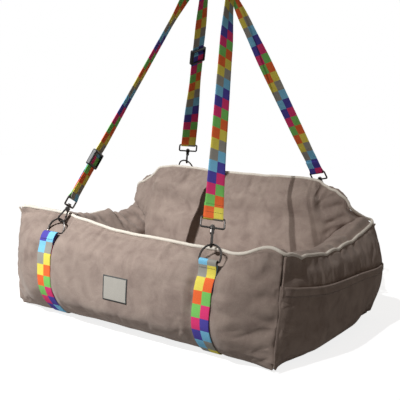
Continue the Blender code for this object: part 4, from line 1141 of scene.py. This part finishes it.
class SideBolster(Cushion):
    """Side wall: side is -1 for the left one and 1 for the right one."""

    pocket_top: float = 0.136
    inner_rise: Knots = (
        (-0.235, 0.0), (-0.17, 0.002), (-0.10, 0.008), (0.0, 0.010), (0.09, 0.013), (0.16, 0.019),
        (0.21, 0.020), (0.238, 0.012), (0.250, 0.0))

    @property
    def side(self) -> float:
        """Which side of the bed the wall is on."""
        return -1.0 if self.name.startswith("left") else 1.0

    def held(self, points: np.ndarray) -> np.ndarray:
        """Top seam, foot and mitred ends, and the panel behind the pocket."""
        ys = np.linspace(FRONT_Y, REAR_Y, 99)
        rim = [(self.side * HALF_WIDTH, y, SEAMS.side_ridge(y, self.side)) for y in ys]
        held = self.sewn(points, rim)
        inward = HALF_WIDTH - np.abs(points[:, 0])
        held |= inward - (points[:, 1] - FRONT_Y) > MITRE_HELD
        held |= inward - (REAR_Y - points[:, 1]) > MITRE_HELD
        if self.side > 0.0:
            held |= (inward < -0.001) & (points[:, 2] < self.pocket_top)
        return held

    def settled(self, points: np.ndarray) -> np.ndarray:
        """Settled cover, fuller just inside the rim, where it fills up to the backrest's shoulder."""
        inward = HALF_WIDTH - np.abs(points[:, 0])
        high = ease(0.155, 0.195, points[:, 2]) * ease(0.003, 0.016, inward)
        moved = SAG.move(points)
        rise = curve(self.inner_rise, points[:, 1])
        moved[:, 2] += high * (1.0 - ease(0.065, 0.080, inward)) * rise
        return moved

    def room(self, points: np.ndarray) -> np.ndarray:
        """Full on the outside; less inside, low down, where the seat cushion stands."""
        inside = ease(0.03, 0.06, HALF_WIDTH - np.abs(points[:, 0]))
        room = 0.40 + 0.60 * inside * ease(*SEAT_EDGE, points[:, 2])
        return room * (1.0 - ease(REAR_Y - 0.10, REAR_Y - 0.075, points[:, 1]) * inside)


class Backrest(Cushion):
    """Tall rear cushion, whose shoulders rest on the side walls."""

    def held(self, points: np.ndarray) -> np.ndarray:
        """Top seam, foot, the ends that rest on the side walls and the strips under the webbing."""
        xs = np.concatenate([np.linspace(-0.3205, -0.28, 60), np.linspace(-0.28, 0.28, 113),
                             np.linspace(0.28, 0.3205, 60)])
        held = self.sewn(points, [(x, SEAMS.back_seam_y(x), SEAMS.back_ridge(x)) for x in xs])
        reach = np.clip((HALF_WIDTH - np.abs(points[:, 0])) / SIDE_DEPTH, 0.0, 1.0)
        cover = FOOT_LIFT + (CORNER_TOP - FOOT_LIFT) * (1.0 - reach ** (2.0 / 0.70)) ** 0.35 + 0.0016
        ends = np.abs(points[:, 0]) > HALF_WIDTH - SIDE_DEPTH - 0.002
        held |= ends & (points[:, 2] < cover + 0.004) & (points[:, 1] < REAR_Y - 0.012)
        return held | (on_webbing(points) & (points[:, 1] > SEAMS.back_y + 0.008))

    def room(self, points: np.ndarray) -> np.ndarray:
        """Full, but for the foot of the front panel behind the seat cushion."""
        inside = 1.0 - ease(0.15, 0.18, points[:, 1])
        return 1.0 - inside * (1.0 - ease(*SEAT_EDGE, points[:, 2]))


class SeatCushion(Cushion):
    """Loose pad that lifts out."""

    edge: float = 0.040
    spread: tuple[float, float] = (1.031, 1.098)
    middle: tuple[float, float] = (-0.0180, -0.0245)

    def held(self, points: np.ndarray) -> np.ndarray:
        """Its underside and its edge, which the walls press in."""
        return points[:, 2] < self.edge

    def settled(self, points: np.ndarray) -> np.ndarray:
        """Pad spread out until it meets the walls all round."""
        moved = points.copy()
        moved[:, 0] *= self.spread[0]
        moved[:, 1] = self.middle[0] + (moved[:, 1] - self.middle[1]) * self.spread[1]
        return moved


class BaseLining:
    """Cloth floor sewn between the walls, over the stiff panel."""

    half: float = 0.262
    front: float = -0.176
    rear: float = 0.148
    height: float = 0.0184
    cloth: float = 0.0003

    def build(self) -> None:
        """Lining stretched flat, with its edges inside the walls."""
        lining = patch("base_lining", 60, 40, self.spot, self.cloth, Finish.VELOUR)
        mount(lining, "bed")

    def spot(self, u: float, v: float) -> Vector:
        """Point on the lining for fractions across and back."""
        return Vector((mix(-self.half, self.half, u), mix(self.front, self.rear, v), self.height))


# Piping, label and pocket


@dataclass
class Piping:
    """Pale cord sewn into the top seams, and thin cord in the upright corners."""

    covers: BVHTree
    radius: float = 0.0036
    corner_radius: float = 0.0019
    seat: float = 0.0012
    corner_seat: float = 0.0008
    search: float = 0.030
    front_end: float = 0.3190
    side_ends: tuple[float, float] = (-0.2290, 0.2440)

    def side_seam(self, side: float) -> list[Vector]:
        """Top seam of one side wall, from front to rear."""
        return [Vector((side * HALF_WIDTH, y, SEAMS.side_ridge(y, side)))
                for y in np.linspace(*self.side_ends, 90)]

    def rim(self) -> tuple[list[Vector], list[Vector]]:
        """Closed line of the top seams, and the way out of the cushions at each of its points."""
        up = Vector((0.0, 0.0, 1.0))
        front = [Vector((x, SEAMS.front_y(x), SEAMS.front_ridge(x)))
                 for x in np.linspace(-self.front_end, self.front_end, 120)]
        left, right = self.side_seam(-1.0), self.side_seam(1.0)
        spots = [math.copysign(self.front_end * (1.0 - (1.0 - abs(u)) ** 2.6), u)
                 for u in np.linspace(-1.0, 1.0, 260)]
        back = [Vector((x, SEAMS.back_seam_y(x), SEAMS.back_ridge(x))) for x in spots]
        outs = [up] * (len(front) + len(right))
        for i in reversed(range(len(back))):
            along = back[min(i + 1, len(back) - 1)] - back[max(i - 1, 0)]
            out = Vector((-along.z, 0.0, along.x)).normalized()
            outs.append(up if abs(back[i].x) > SEAMS.back_half + 0.001 else out)
        outs += [up] * len(left)
        return front + right + list(reversed(back)) + list(reversed(left)), outs

    def seated(self, point: Vector, out: Vector, seat: float) -> Vector:
        """Point of the cord where it lies on the cushions' covers."""
        found = self.covers.ray_cast(point + out * self.search, -out, 2.0 * self.search)[0]
        return (found or point) + out * seat

    def corner(self, side: float, y_seam: float, forward: float) -> list[Vector]:
        """Line of the thin cord down an upright corner, on the dressed covers."""
        out = Vector((side, forward, 0.0)).normalized()
        points = []
        for z in np.linspace(0.010, SEAMS.side_ridge(y_seam, side) - 0.006, 70):
            seam = SAG.point(Vector((side * HALF_WIDTH, y_seam, z)))
            points.append(self.seated(seam, out, self.corner_seat))
        return smoothed(points, 40)

    def build(self) -> None:
        """Rim cord and the four corner cords."""
        line = [self.seated(SAG.point(point), out, self.seat) for point, out in zip(*self.rim())]
        rim = cord("rim_piping_cord", smoothed(line, 4, closed=True), self.radius, Finish.PIPING,
                   closed=True, sides=12)
        mount(rim, "bed", "rim_piping")
        for tag, side, y_seam, forward in (
                ("fl", -1.0, FRONT_Y, -1.0), ("fr", 1.0, FRONT_Y, -1.0),
                ("bl", -1.0, REAR_Y, 1.0), ("br", 1.0, REAR_Y, 1.0)):
            line = self.corner(side, y_seam, forward)
            thin = cord(f"corner_cord_{tag}", line, self.corner_radius, Finish.CORNER_PIPING)
            mount(thin, "bed", f"corner_piping_{tag}")


@dataclass
class Label:
    """Bare woven label, sewn to the middle of the front."""

    middle_x: float = 0.005
    middle_z: float = 0.107
    thickness: float = 0.0009
    proud: float = 0.0012
    bridge: float = 0.006

    def build(self, cover: bpy.types.Object) -> None:
        """Label laid on the front cushion's cover."""
        tree = surface(cover)
        centre = Vector((self.middle_x, -0.5, self.middle_z))

        def place(u: float, v: float) -> Vector:
            """Point just above the cover for a pair of fractions."""
            start = centre + Vector(((u - 0.5) * LABEL_SIZE[0], 0.0, (v - 0.5) * LABEL_SIZE[1]))
            total = Vector()
            near = self.bridge
            for dx, dz in ((0.0, 0.0), (near, 0.0), (-near, 0.0), (0.0, near), (0.0, -near)):
                total += tree.ray_cast(start + Vector((dx, 0.0, dz)), Vector((0.0, 1.0, 0.0)))[0]
            return total / 5 - Vector((0.0, self.proud, 0.0))

        made = patch("label_face", 24, 18, place, self.thickness, Finish.LABEL)
        mount(made, "bed", "label_patch")


def surface(*pieces: bpy.types.Object) -> BVHTree:
    """The pieces' meshes as a tree that rays can be cast on."""
    bm = bmesh.new()
    for piece in pieces:
        bm.from_mesh(piece.data)
    tree = BVHTree.FromBMesh(bm)
    bm.free()
    return tree


@dataclass
class Pocket:
    """Flat pocket across the right wall, with a turned hem at its mouth."""

    front: float = -0.2335
    rear: float = 0.2475
    foot: float = 0.014
    hem: Knots = (
        (-0.24, 0.1605), (-0.19, 0.1530), (-0.10, 0.1435), (0.0, 0.1390), (0.12, 0.1365),
        (0.25, 0.1345))
    mouth: float = 0.0045
    cloth: float = 0.0016
    flat: tuple[float, float] = (0.508, 0.147)
    area: float = 0.0718
    hem_share: float = 0.1
    hem_lift: tuple[float, float] = (0.0028, -0.0004)
    fold: float = 0.16
    fold_rise: float = 0.012
    stitch_rows: tuple[tuple[str, float], ...] = (("low", 0.888), ("high", 0.985))
    stitch_lift: float = 0.0032
    creases: tuple[Crease, ...] = (
        Crease(((0.0, -0.240, 0.098), (0.0, -0.205, 0.094), (0.0, -0.170, 0.092)), 0.0030, 0.0055, 1.6),
        Crease(((0.0, -0.240, 0.076), (0.0, -0.200, 0.072), (0.0, -0.160, 0.070)), 0.0034, 0.0055, 1.6),
        Crease(((0.0, -0.240, 0.040), (0.0, -0.215, 0.034), (0.0, -0.185, 0.032)), 0.0030, 0.0055, 1.6),
        Crease(((0.0, -0.240, 0.132), (0.0, -0.210, 0.127), (0.0, -0.180, 0.126)), 0.0030, 0.0045, 1.6),
        Crease(((0.0, -0.120, 0.110), (0.0, -0.060, 0.070), (0.0, 0.000, 0.050)), 0.0022, 0.016, 1.0),
        Crease(((0.0, 0.080, 0.120), (0.0, 0.120, 0.080), (0.0, 0.140, 0.045)), 0.0020, 0.016, 1.0),
    )

    def spot(self, u: float, v: float, lift: float = 0.0) -> Vector:
        """Point on the pocket's inner face for fractions along it and up it."""
        y = mix(self.front, self.rear, u)
        z = mix(self.foot, through(self.hem, y), v)
        out = SEAMS.side_outer(y, 1.0, z)
        side = min(smoothstep(0.0, 0.22, u), smoothstep(1.0, 0.80, u))
        edge = min(smoothstep(0.0, 0.035, u), smoothstep(1.0, 0.965, u), smoothstep(0.0, 0.10, v))
        gap = mix(-0.0035, 0.0012, edge) + self.mouth * side * smoothstep(0.35, 1.0, v) + lift * edge
        for crease in self.creases:
            gap -= float(crease.press(np.array([(0.0, y, z)]))[0])
        return SAG.point(Vector((HALF_WIDTH + out + gap, y, z)))

    def folded(self, u: float, v: float) -> Vector:
        """Point on the turned hem, from the stitch line over the mouth's edge and down inside."""
        around = (v - 0.5) * 2.0
        outer, inner = self.hem_lift
        if abs(around) > self.fold:
            down = (abs(around) - self.fold) / (1.0 - self.fold) * self.hem_share
            return self.spot(u, 1.0 - down, outer if around < 0.0 else inner)
        turn = around / self.fold * math.pi / 2
        lift = mix(outer, inner, (math.sin(turn) + 1.0) / 2)
        return self.spot(u, 1.0 + self.fold_rise * math.cos(turn), lift)

    def build(self) -> None:
        """Panel, turned hem and the rows of stitches that hold it."""
        panel = patch("pocket_panel", 90, 36, self.spot, self.cloth, Finish.VELOUR, inward=1.0)
        mount(panel, "bed", "side_pocket")
        hem = patch("pocket_hem", 90, 26, self.folded, 0.0006, Finish.VELOUR, inward=0.0)
        mount(hem, "bed", "side_pocket")
        for tag, v in self.stitch_rows:
            row = [self.spot(u, v, self.stitch_lift) for u in np.linspace(0.01, 0.99, 120)]
            mount(stitches(f"pocket_stitch_{tag}", row, HEM_THREAD), "bed")


def smoothed(line: Sequence[Vector], rounds: int, closed: bool = False) -> list[Vector]:
    """Line with its kinks eased by averaging neighbours."""
    points = np.array([tuple(p) for p in line])
    for _ in range(rounds):
        before = np.roll(points, 1, axis=0)
        after = np.roll(points, -1, axis=0)
        eased = (before + 2 * points + after) / 4
        if not closed:
            eased[0], eased[-1] = points[0], points[-1]
        points = eased
    return [Vector(p) for p in points]


# Webbing


@dataclass(frozen=True)
class Checks:
    """How the checks lie along a stretch of webbing: one check's length and where the cycle starts."""

    length: float
    phase: float

    def count(self, distance: float) -> float:
        """Check that the band has reached at a distance."""
        return self.phase - distance / self.length


@dataclass
class Wrap:
    """Band of webbing under the bed, from the front D-ring to the rear one."""

    name: str
    side: float
    checks: Checks
    front_tail_end: float = 0.135
    rear_tail_end: float = 0.159
    front_spread: tuple[float, float] = (0.115, 0.136)
    rear_spread: tuple[float, float] = (0.138, 0.160)
    tack_height: float = 0.176
    lean_from: float = 0.14
    step: float = 0.004

    def path(self) -> list[tuple[float, float]]:
        """Middle line (y, z) of the band's outer layer, from the front loop to the rear one."""
        x = self.side * WRAP_X
        lift = SEAM_GAP + WEB_THICK / 2 + WEB_CLEAR
        foot = SEAMS.foot(x)
        heights = [0.016, 0.024, 0.036, 0.052, 0.072, 0.094, 0.117]
        front = [SEAMS.front_outer(x, z) for z in heights + [0.136, 0.151, 0.165]]
        rear = [SEAMS.rear_outer(x, z) for z in heights + [0.140, 0.160, 0.178, 0.196]]
        down = offset_line(list(reversed(front)), lift)
        up = offset_line(rear, lift)
        low = WEB_THICK / 2 + WEB_CLEAR
        shelf = foot - lift
        under = [(down[-1][0] + 0.009, shelf), (-0.172, shelf), (-0.153, 0.0045), (-0.136, low)]
        under += [(-0.06, low), (0.05, low), (0.111, low), (0.128, 0.0045), (0.147, shelf)]
        under += [(up[0][0] - 0.0045, shelf)]
        return down + under + up

    def build(self) -> None:
        """Band with a folded loop round the bar of each D-ring."""
        bar = ring_bar("rear", self.side)
        hinge = ring_bar("rear", 1.0) - ring_bar("rear", -1.0)
        path = self.path()
        front_tail = [(y - LAYER_GAP, z) for y, z in reversed(path[:6]) if z > self.front_tail_end]
        rear_tail = [(y + LAYER_GAP, z) for y, z in reversed(path[-6:]) if z > self.rear_tail_end]
        outer = [self.spread(point) for point in path]
        loop = list(reversed(ring_loop(ring_bar("front", self.side), -1.0)))
        line = front_tail + loop + outer + ring_loop(bar, 1.0) + rear_tail
        fine = resampled([Vector((0.0, y, z)) for y, z in line], self.step)
        top = max(range(len(fine) // 3), key=lambda i: fine[i].z)
        distances = [0.0]
        for here, there in zip(fine, fine[1:]):
            distances.append(distances[-1] + (there - here).length)
        places = []
        for i, point in enumerate(fine):
            along = (fine[min(i + 1, len(fine) - 1)] - fine[max(i - 1, 0)]).normalized()
            face = Vector((0.0, along.z, -along.y))
            rear = point.y > 0.0
            rise = smoothstep(self.lean_from, bar.z, point.z) if rear else 0.0
            share = max(point.z - self.lean_from, 0.0) / (bar.z - self.lean_from)
            lean = (bar.x - self.side * WRAP_X) * share * rear
            across = Vector((-1.0, -hinge.y / hinge.x * rise, -hinge.z / hinge.x * rise))
            spot = Vector((self.side * WRAP_X + lean, point.y, point.z))
            if not rear:
                spot = SAG.point(spot)
            count = self.checks.count(distances[i] - distances[top]) - 1.0
            places.append(Place(spot, face, count, across=across))
        mount(ribbon(f"{self.name}_webbing", places, [True] * len(places)), "bed", self.name)
        outside = [place for place in places if place.face.y < -0.3]
        tack = min(outside, key=lambda place: abs(place.point.z - self.tack_height))
        bar_tack(f"{self.name}_stitch_upper", tack.point + tack.face * (WEB_THICK / 2 + 0.0001),
                 tack.across, tack.face, "bed")

    def spread(self, point: tuple[float, float]) -> tuple[float, float]:
        """Move the outer layer out where the folded end lies under it."""
        y, z = point
        shift = WEB_THICK + LAYER_GAP
        if y < 0.0:
            return y - shift * smoothstep(*self.front_spread, z), z
        return y + shift * smoothstep(*self.rear_spread, z), z


TACK_HALF = 0.46


def bar_tack(name: str, middle: Vector, across: Vector, face: Vector, body: str,
             rows: Sequence[float] = (-0.0016, 0.0016)) -> None:
    """Rows of stitches across a band of webbing, where its folded end is sewn down.

    Args:
        name: The piece's name.
        middle: Middle of the band's outer face.
        across: Direction across the band.
        face: Way out of the band's face.
        body: The body that the band rides on.
        rows: Where the rows lie along the band, from the middle.
    """
    side = across.normalized()
    along = side.cross(face).normalized()
    for i, row in enumerate(rows):
        ends = [middle + along * row + side * (half * WEB_WIDTH) for half in (-TACK_HALF, TACK_HALF)]
        mount(stitches(f"{name}_{i + 1}", ends, TACK_THREAD), body)


def offset_line(points: Sequence[tuple[float, float]], distance: float) -> list[tuple[float, float]]:
    """Move a line of (y, z) points to its right by a distance."""
    moved = []
    for i, point in enumerate(points):
        before = Vector(points[max(i - 1, 0)])
        after = Vector(points[min(i + 1, len(points) - 1)])
        along = (after - before).normalized()
        moved.append((point[0] + along.y * distance, point[1] - along.x * distance))
    return moved


def ring_loop(bar: Vector, outward: float) -> list[tuple[float, float]]:
    """Loop of webbing round a D-ring's bar, as (y, z) points from the outer layer to the inner."""
    angles = [math.pi * i / 12 for i in range(13)]
    return [(bar.y + outward * LOOP_RADIUS * math.cos(a), bar.z + LOOP_RADIUS * math.sin(a))
            for a in angles]


def resampled(line: Sequence[Vector], step: float) -> list[Vector]:
    """Smooth line through points, with points about a step apart."""
    made = [line[0].copy()]
    last = len(line) - 1
    for i in range(last):
        before, start, end, after = line[max(i - 1, 0)], line[i], line[i + 1], line[min(i + 2, last)]
        reach = (end - start).length
        pull0 = (end - before) / max((end - before).length, 1e-9) * reach
        pull1 = (after - start) / max((after - start).length, 1e-9) * reach
        count = max(1, round(reach / step))
        for k in range(1, count + 1):
            t = k / count
            made.append(start * (2 * t**3 - 3 * t**2 + 1) + pull0 * (t**3 - 2 * t**2 + t)
                        + end * (3 * t**2 - 2 * t**3) + pull1 * (t**3 - t**2))
    return made


@dataclass(frozen=True)
class Leg:
    """One leg of a shoulder strap: where it stands, how its webbing turns and how its checks lie."""

    tag: str
    side: float
    twist: Knots
    checks: Checks
    tail_checks: Checks
    tail: float
    mirrored: bool = False


@dataclass(frozen=True)
class Loop:
    """Plane and splay of a shoulder strap."""

    ring: tuple[float, float, float]
    lean: float
    splay: float
    drop: float = 0.0
    out: float = 0.0
    hand: float = 0.042
    ring_rise: float = 0.009

    def plane(self) -> Matrix:
        """Frame of the plane that the strap lies in."""
        return Matrix.Translation(self.ring) @ Matrix.Rotation(-self.lean, 4, "X")

    def bar(self, side: float) -> Vector:
        """Middle of a D-ring's bar in the strap's plane."""
        if side > 0.0:
            return Vector((WRAP_X + self.out, 0.0, -self.drop))
        return Vector((-WRAP_X, 0.0, 0.0))

    def tilt(self) -> float:
        """Slope of the line through both bars."""
        along = self.bar(1.0) - self.bar(-1.0)
        return math.atan2(along.z, along.x)

    def origin(self, side: float) -> Vector:
        """Middle of a D-ring's arc in the strap's plane."""
        turn = Matrix.Rotation(-self.tilt(), 4, "Y")
        return Matrix.Translation(self.bar(side)) @ turn @ Vector((0.0, 0.0, self.ring_rise))

    def up(self, side: float) -> Vector:
        """Direction up a leg in the strap's plane."""
        return Vector((-side * math.sin(self.splay), 0.0, math.cos(self.splay)))

    def bend(self) -> Vector:
        """Centre of the bend over the hand."""
        left, right = self.origin(-1.0), self.origin(1.0)
        x = (left.x + right.x) / 2 - math.tan(self.splay) * (left.z - right.z) / 2
        spare = math.cos(self.splay) * (right.x - left.x) - 2 * self.hand
        return Vector((x, 0.0, (left.z + right.z) / 2 + spare / (2 * math.sin(self.splay))))

    def length(self, side: float) -> float:
        """Length of a leg from the ring's arc to where it starts to bend over the hand."""
        return (self.bend() - self.origin(side)).dot(self.up(side))

    def point(self, side: float, v: float) -> tuple[Vector, Vector, Vector]:
        """Place, direction up and outward direction at a distance up a leg and its half bend."""
        up = self.up(side)
        level = Vector((side * up.z, 0.0, side * -up.x))
        length = self.length(side)
        if v <= length:
            return self.origin(side) + up * v, up, level
        angle = (v - length) / self.hand
        out = level * math.cos(angle) + up * math.sin(angle)
        ahead = up * math.cos(angle) - level * math.sin(angle)
        return self.bend() + out * self.hand, ahead, out


LOOPS = {
    "front": Loop((0.0, -0.258, 0.189), math.radians(25.3), math.radians(13.42)),
    "rear": Loop((0.0, 0.234, 0.308), math.radians(-25.5), math.radians(19.35), 0.049, 0.020),
}


def ring_bar(word: str, side: float) -> Vector:
    """Middle of a D-ring's bar on the bed."""
    return LOOPS[word].plane() @ LOOPS[word].bar(side)


@dataclass
class ShoulderStrap:
    """Shoulder strap of webbing, folded round the eyes of its two hooks."""

    word: str
    left: Leg
    right: Leg
    fold_end: float = 0.010
    past_tail: tuple[float, float] = (0.004, 0.035)
    tacks: tuple[tuple[str, float], ...] = (("low", 0.011), ("high", 0.027))
    step: float = 0.008

    @property
    def loop(self) -> Loop:
        """The plane and splay that the strap hangs in."""
        return LOOPS[self.word]

    def turn(self, leg: Leg, v: float) -> float:
        """Turn of the webbing's face at a distance up a leg, in radians."""
        knots = leg.twist
        if v <= knots[0][0]:
            return math.radians(knots[0][1])
        for (v0, a0), (v1, a1) in zip(knots, knots[1:]):
            if v <= v1:
                return math.radians(mix(a0, a1, smoothstep(v0, v1, v)))
        return math.radians(knots[-1][1])

    def layer(self, leg: Leg, v: float, lift: float) -> tuple[Vector, Vector]:
        """Place and face of one layer of webbing, lifted off the leg's middle line."""
        point, up, level = self.loop.point(leg.side, v)
        face = Matrix.Rotation(self.turn(leg, v), 3, up) @ level
        return point + face * lift, face

    def half(self, leg: Leg) -> list[Place]:
        """Places from the end of the folded tail, round the eye's bar and up to the top."""
        lift = WEB_THICK / 2 + LAYER_GAP / 2
        start = EYE_HIGH + self.fold_end
        places = []
        count = max(3, round((leg.tail - start) / self.step) + 1)
        for i in range(count):
            v = mix(leg.tail, start, i / (count - 1))
            point, face = self.layer(leg, v, -lift)
            places.append(Place(point, -face, leg.tail_checks.count(v)))
        point, up, level = self.loop.point(leg.side, EYE_HIGH)
        face = Matrix.Rotation(self.turn(leg, EYE_HIGH), 3, up) @ level
        for i in range(13):
            angle = math.pi * i / 12 - math.pi
            out = face * math.cos(angle) + up * math.sin(angle)
            v = EYE_HIGH + math.sin(angle) * LOOP_RADIUS
            checks = leg.tail_checks if i < 6 else leg.checks
            before = leg.tail_checks.count(v) if i == 6 else None
            places.append(Place(point + out * LOOP_RADIUS, out, checks.count(v), before))
        length = self.loop.length(leg.side)
        top = length + self.loop.hand * (math.pi / 2 - self.loop.splay)
        steps = max(6, round((length - start) / self.step))
        heights = [mix(start, length, i / steps) for i in range(steps + 1)]
        heights += [mix(length, top, i / 10) for i in range(1, 11)]
        for v in heights:
            past = [leg.tail + reach for reach in self.past_tail]
            eased = lift * (1.0 - smoothstep(*past, v))
            point, face = self.layer(leg, v, eased)
            places.append(Place(point, face, leg.checks.count(v)))
        return places

    def build(self) -> None:
        """Both legs in one band, joined over the hand."""
        left = self.half(self.left)
        right = list(reversed(self.half(self.right)))
        for here in right:
            if here.before is not None:
                here.count, here.before = here.before, here.count
        left[-1].before = left[-1].count
        left[-1].count = right[0].count
        flips = [self.left.mirrored] * (len(left) - 1) + [self.right.mirrored] * len(right)
        places = left + right[1:]
        plane = self.loop.plane()
        turn = plane.to_3x3()
        for place in places:
            place.point = plane @ place.point
            place.face = turn @ place.face
        body = f"{self.word}_shoulder_strap"
        mount(ribbon(f"{self.word}_strap_webbing", places, flips), body, f"{self.word}_strap")
        for leg in (self.left, self.right):
            for tag, reach in self.tacks:
                point, face = self.layer(leg, EYE_HIGH + reach, WEB_THICK + LAYER_GAP)
                up = self.loop.point(leg.side, EYE_HIGH + reach)[1]
                out = (turn @ face).normalized()
                bar_tack(f"{self.word}_stitch_{leg.tag}_{tag}", plane @ point,
                         (turn @ up).cross(out), out, body, rows=(0.0,))


SEWN_TAIL = EYE_HIGH + 0.030
STRAPS = (
    ShoulderStrap(
        "front",
        Leg("fl", -1.0, ((0.07, 20.0), (0.20, 22.0), (0.35, 28.0), (0.52, 29.0), (0.66, 0.0)),
            Checks(0.0237, 6.922), Checks(0.0238, 2.638), 0.178),
        Leg("fr", 1.0, ((0.07, -50.0), (0.14, -34.0), (0.24, -25.0), (0.46, -18.0), (0.58, 0.0)),
            Checks(0.0238, 1.063), Checks(0.0238, 1.063), SEWN_TAIL)),
    ShoulderStrap(
        "rear",
        Leg("bl", -1.0, ((0.07, -56.0), (0.11, -50.0), (0.28, -12.0), (0.40, -12.0), (0.50, 0.0)),
            Checks(0.0236, 1.262), Checks(0.0236, 1.262), 0.342),
        Leg("br", 1.0, ((0.11, 78.0), (0.20, 84.0), (0.36, 86.0), (0.46, 72.0), (0.66, 0.0)),
            Checks(0.02315, 4.746), Checks(0.02315, 4.746), SEWN_TAIL, mirrored=True)),
)


# Camera, floor and light


@dataclass
class Studio:
    """Pale floor, a sun and a spot side by side over the camera's left shoulder, a bright surround."""

    target: Vector = field(default_factory=lambda: Vector((0.004, 0.0, 0.263)))
    azimuth: float = math.radians(32.88)
    elevation: float = math.radians(6.58)
    roll: float = math.radians(2.94)
    distance: float = 1.499
    focal_px: float = 650.0
    picture_px: float = 400.0
    sensor_mm: float = 36.0
    key_azimuth: float = math.radians(-13.0)
    key_elevation: float = math.radians(45.0)
    key_strength: float = 1.45
    key_width: float = math.radians(0.5)
    spot_watts: float = 330.0
    spot_cone: float = math.radians(22.0)
    spot_radius: float = 0.015
    lamp_distance: float = 3.0
    spot_aim: Vector = field(default_factory=lambda: Vector((-0.20, -0.20, 0.14)))
    fill: float = 0.115
    fill_colour: str = "ffe9d6"
    floor_lift: float = 0.83
    floor_grey: str = "b4b4b4"
    floor_radius: float = 6.0

    def camera(self) -> None:
        """Camera fitted to the photo."""
        back = way(self.azimuth, self.elevation)
        right = (-back).cross(Vector((0.0, 0.0, 1.0))).normalized()
        up = right.cross(-back)
        across = right * math.cos(self.roll) + up * math.sin(self.roll)
        rise = up * math.cos(self.roll) - right * math.sin(self.roll)
        data = bpy.data.cameras.new("photo_camera")
        data.sensor_width = self.sensor_mm
        data.lens = self.focal_px / self.picture_px * self.sensor_mm
        made = placed("photo_camera", data)
        turn = Matrix((across, rise, back)).transposed().to_4x4()
        made.matrix_world = Matrix.Translation(self.target + back * self.distance) @ turn
        bpy.context.scene.camera = made
        bpy.context.scene.view_settings.view_transform = "Standard"

    def floor(self) -> None:
        """Round grey floor, lifted toward white for the camera, so that it keeps a pale shadow."""
        bm = bmesh.new()
        bmesh.ops.create_circle(bm, cap_ends=True, segments=96, radius=self.floor_radius)
        made, tree, shader = blank_material("studio_floor")
        seen = node(tree, "LightPath").outputs["Is Camera Ray"]
        plug(tree, shader, {
            "Base Color": linear(self.floor_grey), "Roughness": 0.9, "Specular IOR Level": 0.0,
            "Emission Color": WHITE,
            "Emission Strength": sums(tree, "MULTIPLY", seen, self.floor_lift)})
        mesh = bpy.data.meshes.new("studio_floor")
        bm.to_mesh(mesh)
        bm.free()
        mesh.materials.append(made)
        placed("studio_floor", mesh)

    def lamps(self) -> None:
        """Sun-like key over the left shoulder, and a spot along it that favours the left half."""
        away = way(self.key_azimuth, self.key_elevation)
        turn = away.to_track_quat("Z", "Y").to_matrix().to_4x4()
        sun = bpy.data.lights.new("key", "SUN")
        sun.energy = self.key_strength
        sun.angle = self.key_width
        spot = bpy.data.lights.new("left_spot", "SPOT")
        spot.energy = self.spot_watts
        spot.spot_size = self.spot_cone
        spot.spot_blend = 1.0
        spot.shadow_soft_size = self.spot_radius
        for lamp in (sun, spot):
            made = placed(lamp.name, lamp)
            made.matrix_world = Matrix.Translation(self.spot_aim + away * self.lamp_distance) @ turn

    def surround(self) -> None:
        """World: white to the camera and in reflections, weak as a light."""
        world = bpy.data.worlds.new("surround")
        bpy.context.scene.world = world
        world.use_nodes = True
        tree = world.node_tree
        shader = tree.nodes["Background"]
        rays = node(tree, "LightPath").outputs
        seen = sums(tree, "MAXIMUM", rays["Is Camera Ray"], rays["Is Glossy Ray"])
        seen = sums(tree, "MAXIMUM", seen, rays["Is Transmission Ray"])
        plug(tree, shader, {
            "Color": blended(tree, seen, linear(self.fill_colour), WHITE),
            "Strength": ranged(tree, seen, (0.0, 1.0), (self.fill, 1.0))})

    def build(self) -> None:
        """Camera, floor and light."""
        self.camera()
        self.floor()
        self.lamps()
        self.surround()


def way(azimuth: float, elevation: float) -> Vector:
    """Direction out from the bed at an azimuth and an elevation."""
    level = math.cos(elevation)
    return Vector((math.sin(azimuth) * level, -math.cos(azimuth) * level, math.sin(elevation)))


def dress_nodes() -> None:
    """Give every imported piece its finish."""
    finishes = (
        (("d_ring", "hook", "gate", "strap_eye"), Finish.METAL), (("slider",), Finish.SLIDER),
        (("corner_piping", "rim_piping"), Finish.PIPING), (("base_panel",), Finish.BASE),
        (("wrap", "front_strap", "rear_strap"), Finish.WEBBING), (("label",), Finish.LABEL),
        (("",), Finish.VELOUR))
    for name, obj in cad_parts.items():
        finish = next(finish for starts, finish in finishes if name.startswith(starts))
        obj.data.materials.clear()
        obj.data.materials.append(finish.material())


def main() -> None:
    """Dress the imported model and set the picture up."""
    logging.basicConfig(level=logging.INFO, format="%(message)s")
    dress_nodes()
    cushions = [
        FrontBolster("front_bolster", creases=FRONT_FOLDS),
        SideBolster("left_bolster", creases=LEFT_FOLDS),
        SideBolster("right_bolster", creases=RIGHT_FOLDS),
        Backrest("backrest", creases=BACK_FOLDS),
        SeatCushion("seat_cushion", body="seat"),
    ]
    covers = {cushion.name: cushion.build() for cushion in cushions}
    walls = [made for name, made in covers.items() if name != "seat_cushion"]
    BaseLining().build()
    Piping(surface(*walls)).build()
    Label().build(covers["front_bolster"])
    Pocket().build()
    Wrap("wrap_left", -1.0, Checks(0.02475, 1.901)).build()
    Wrap("wrap_right", 1.0, Checks(0.02490, 0.525)).build()
    for strap in STRAPS:
        strap.build()
    Studio().build()


if __name__ == "__main__":
    main()
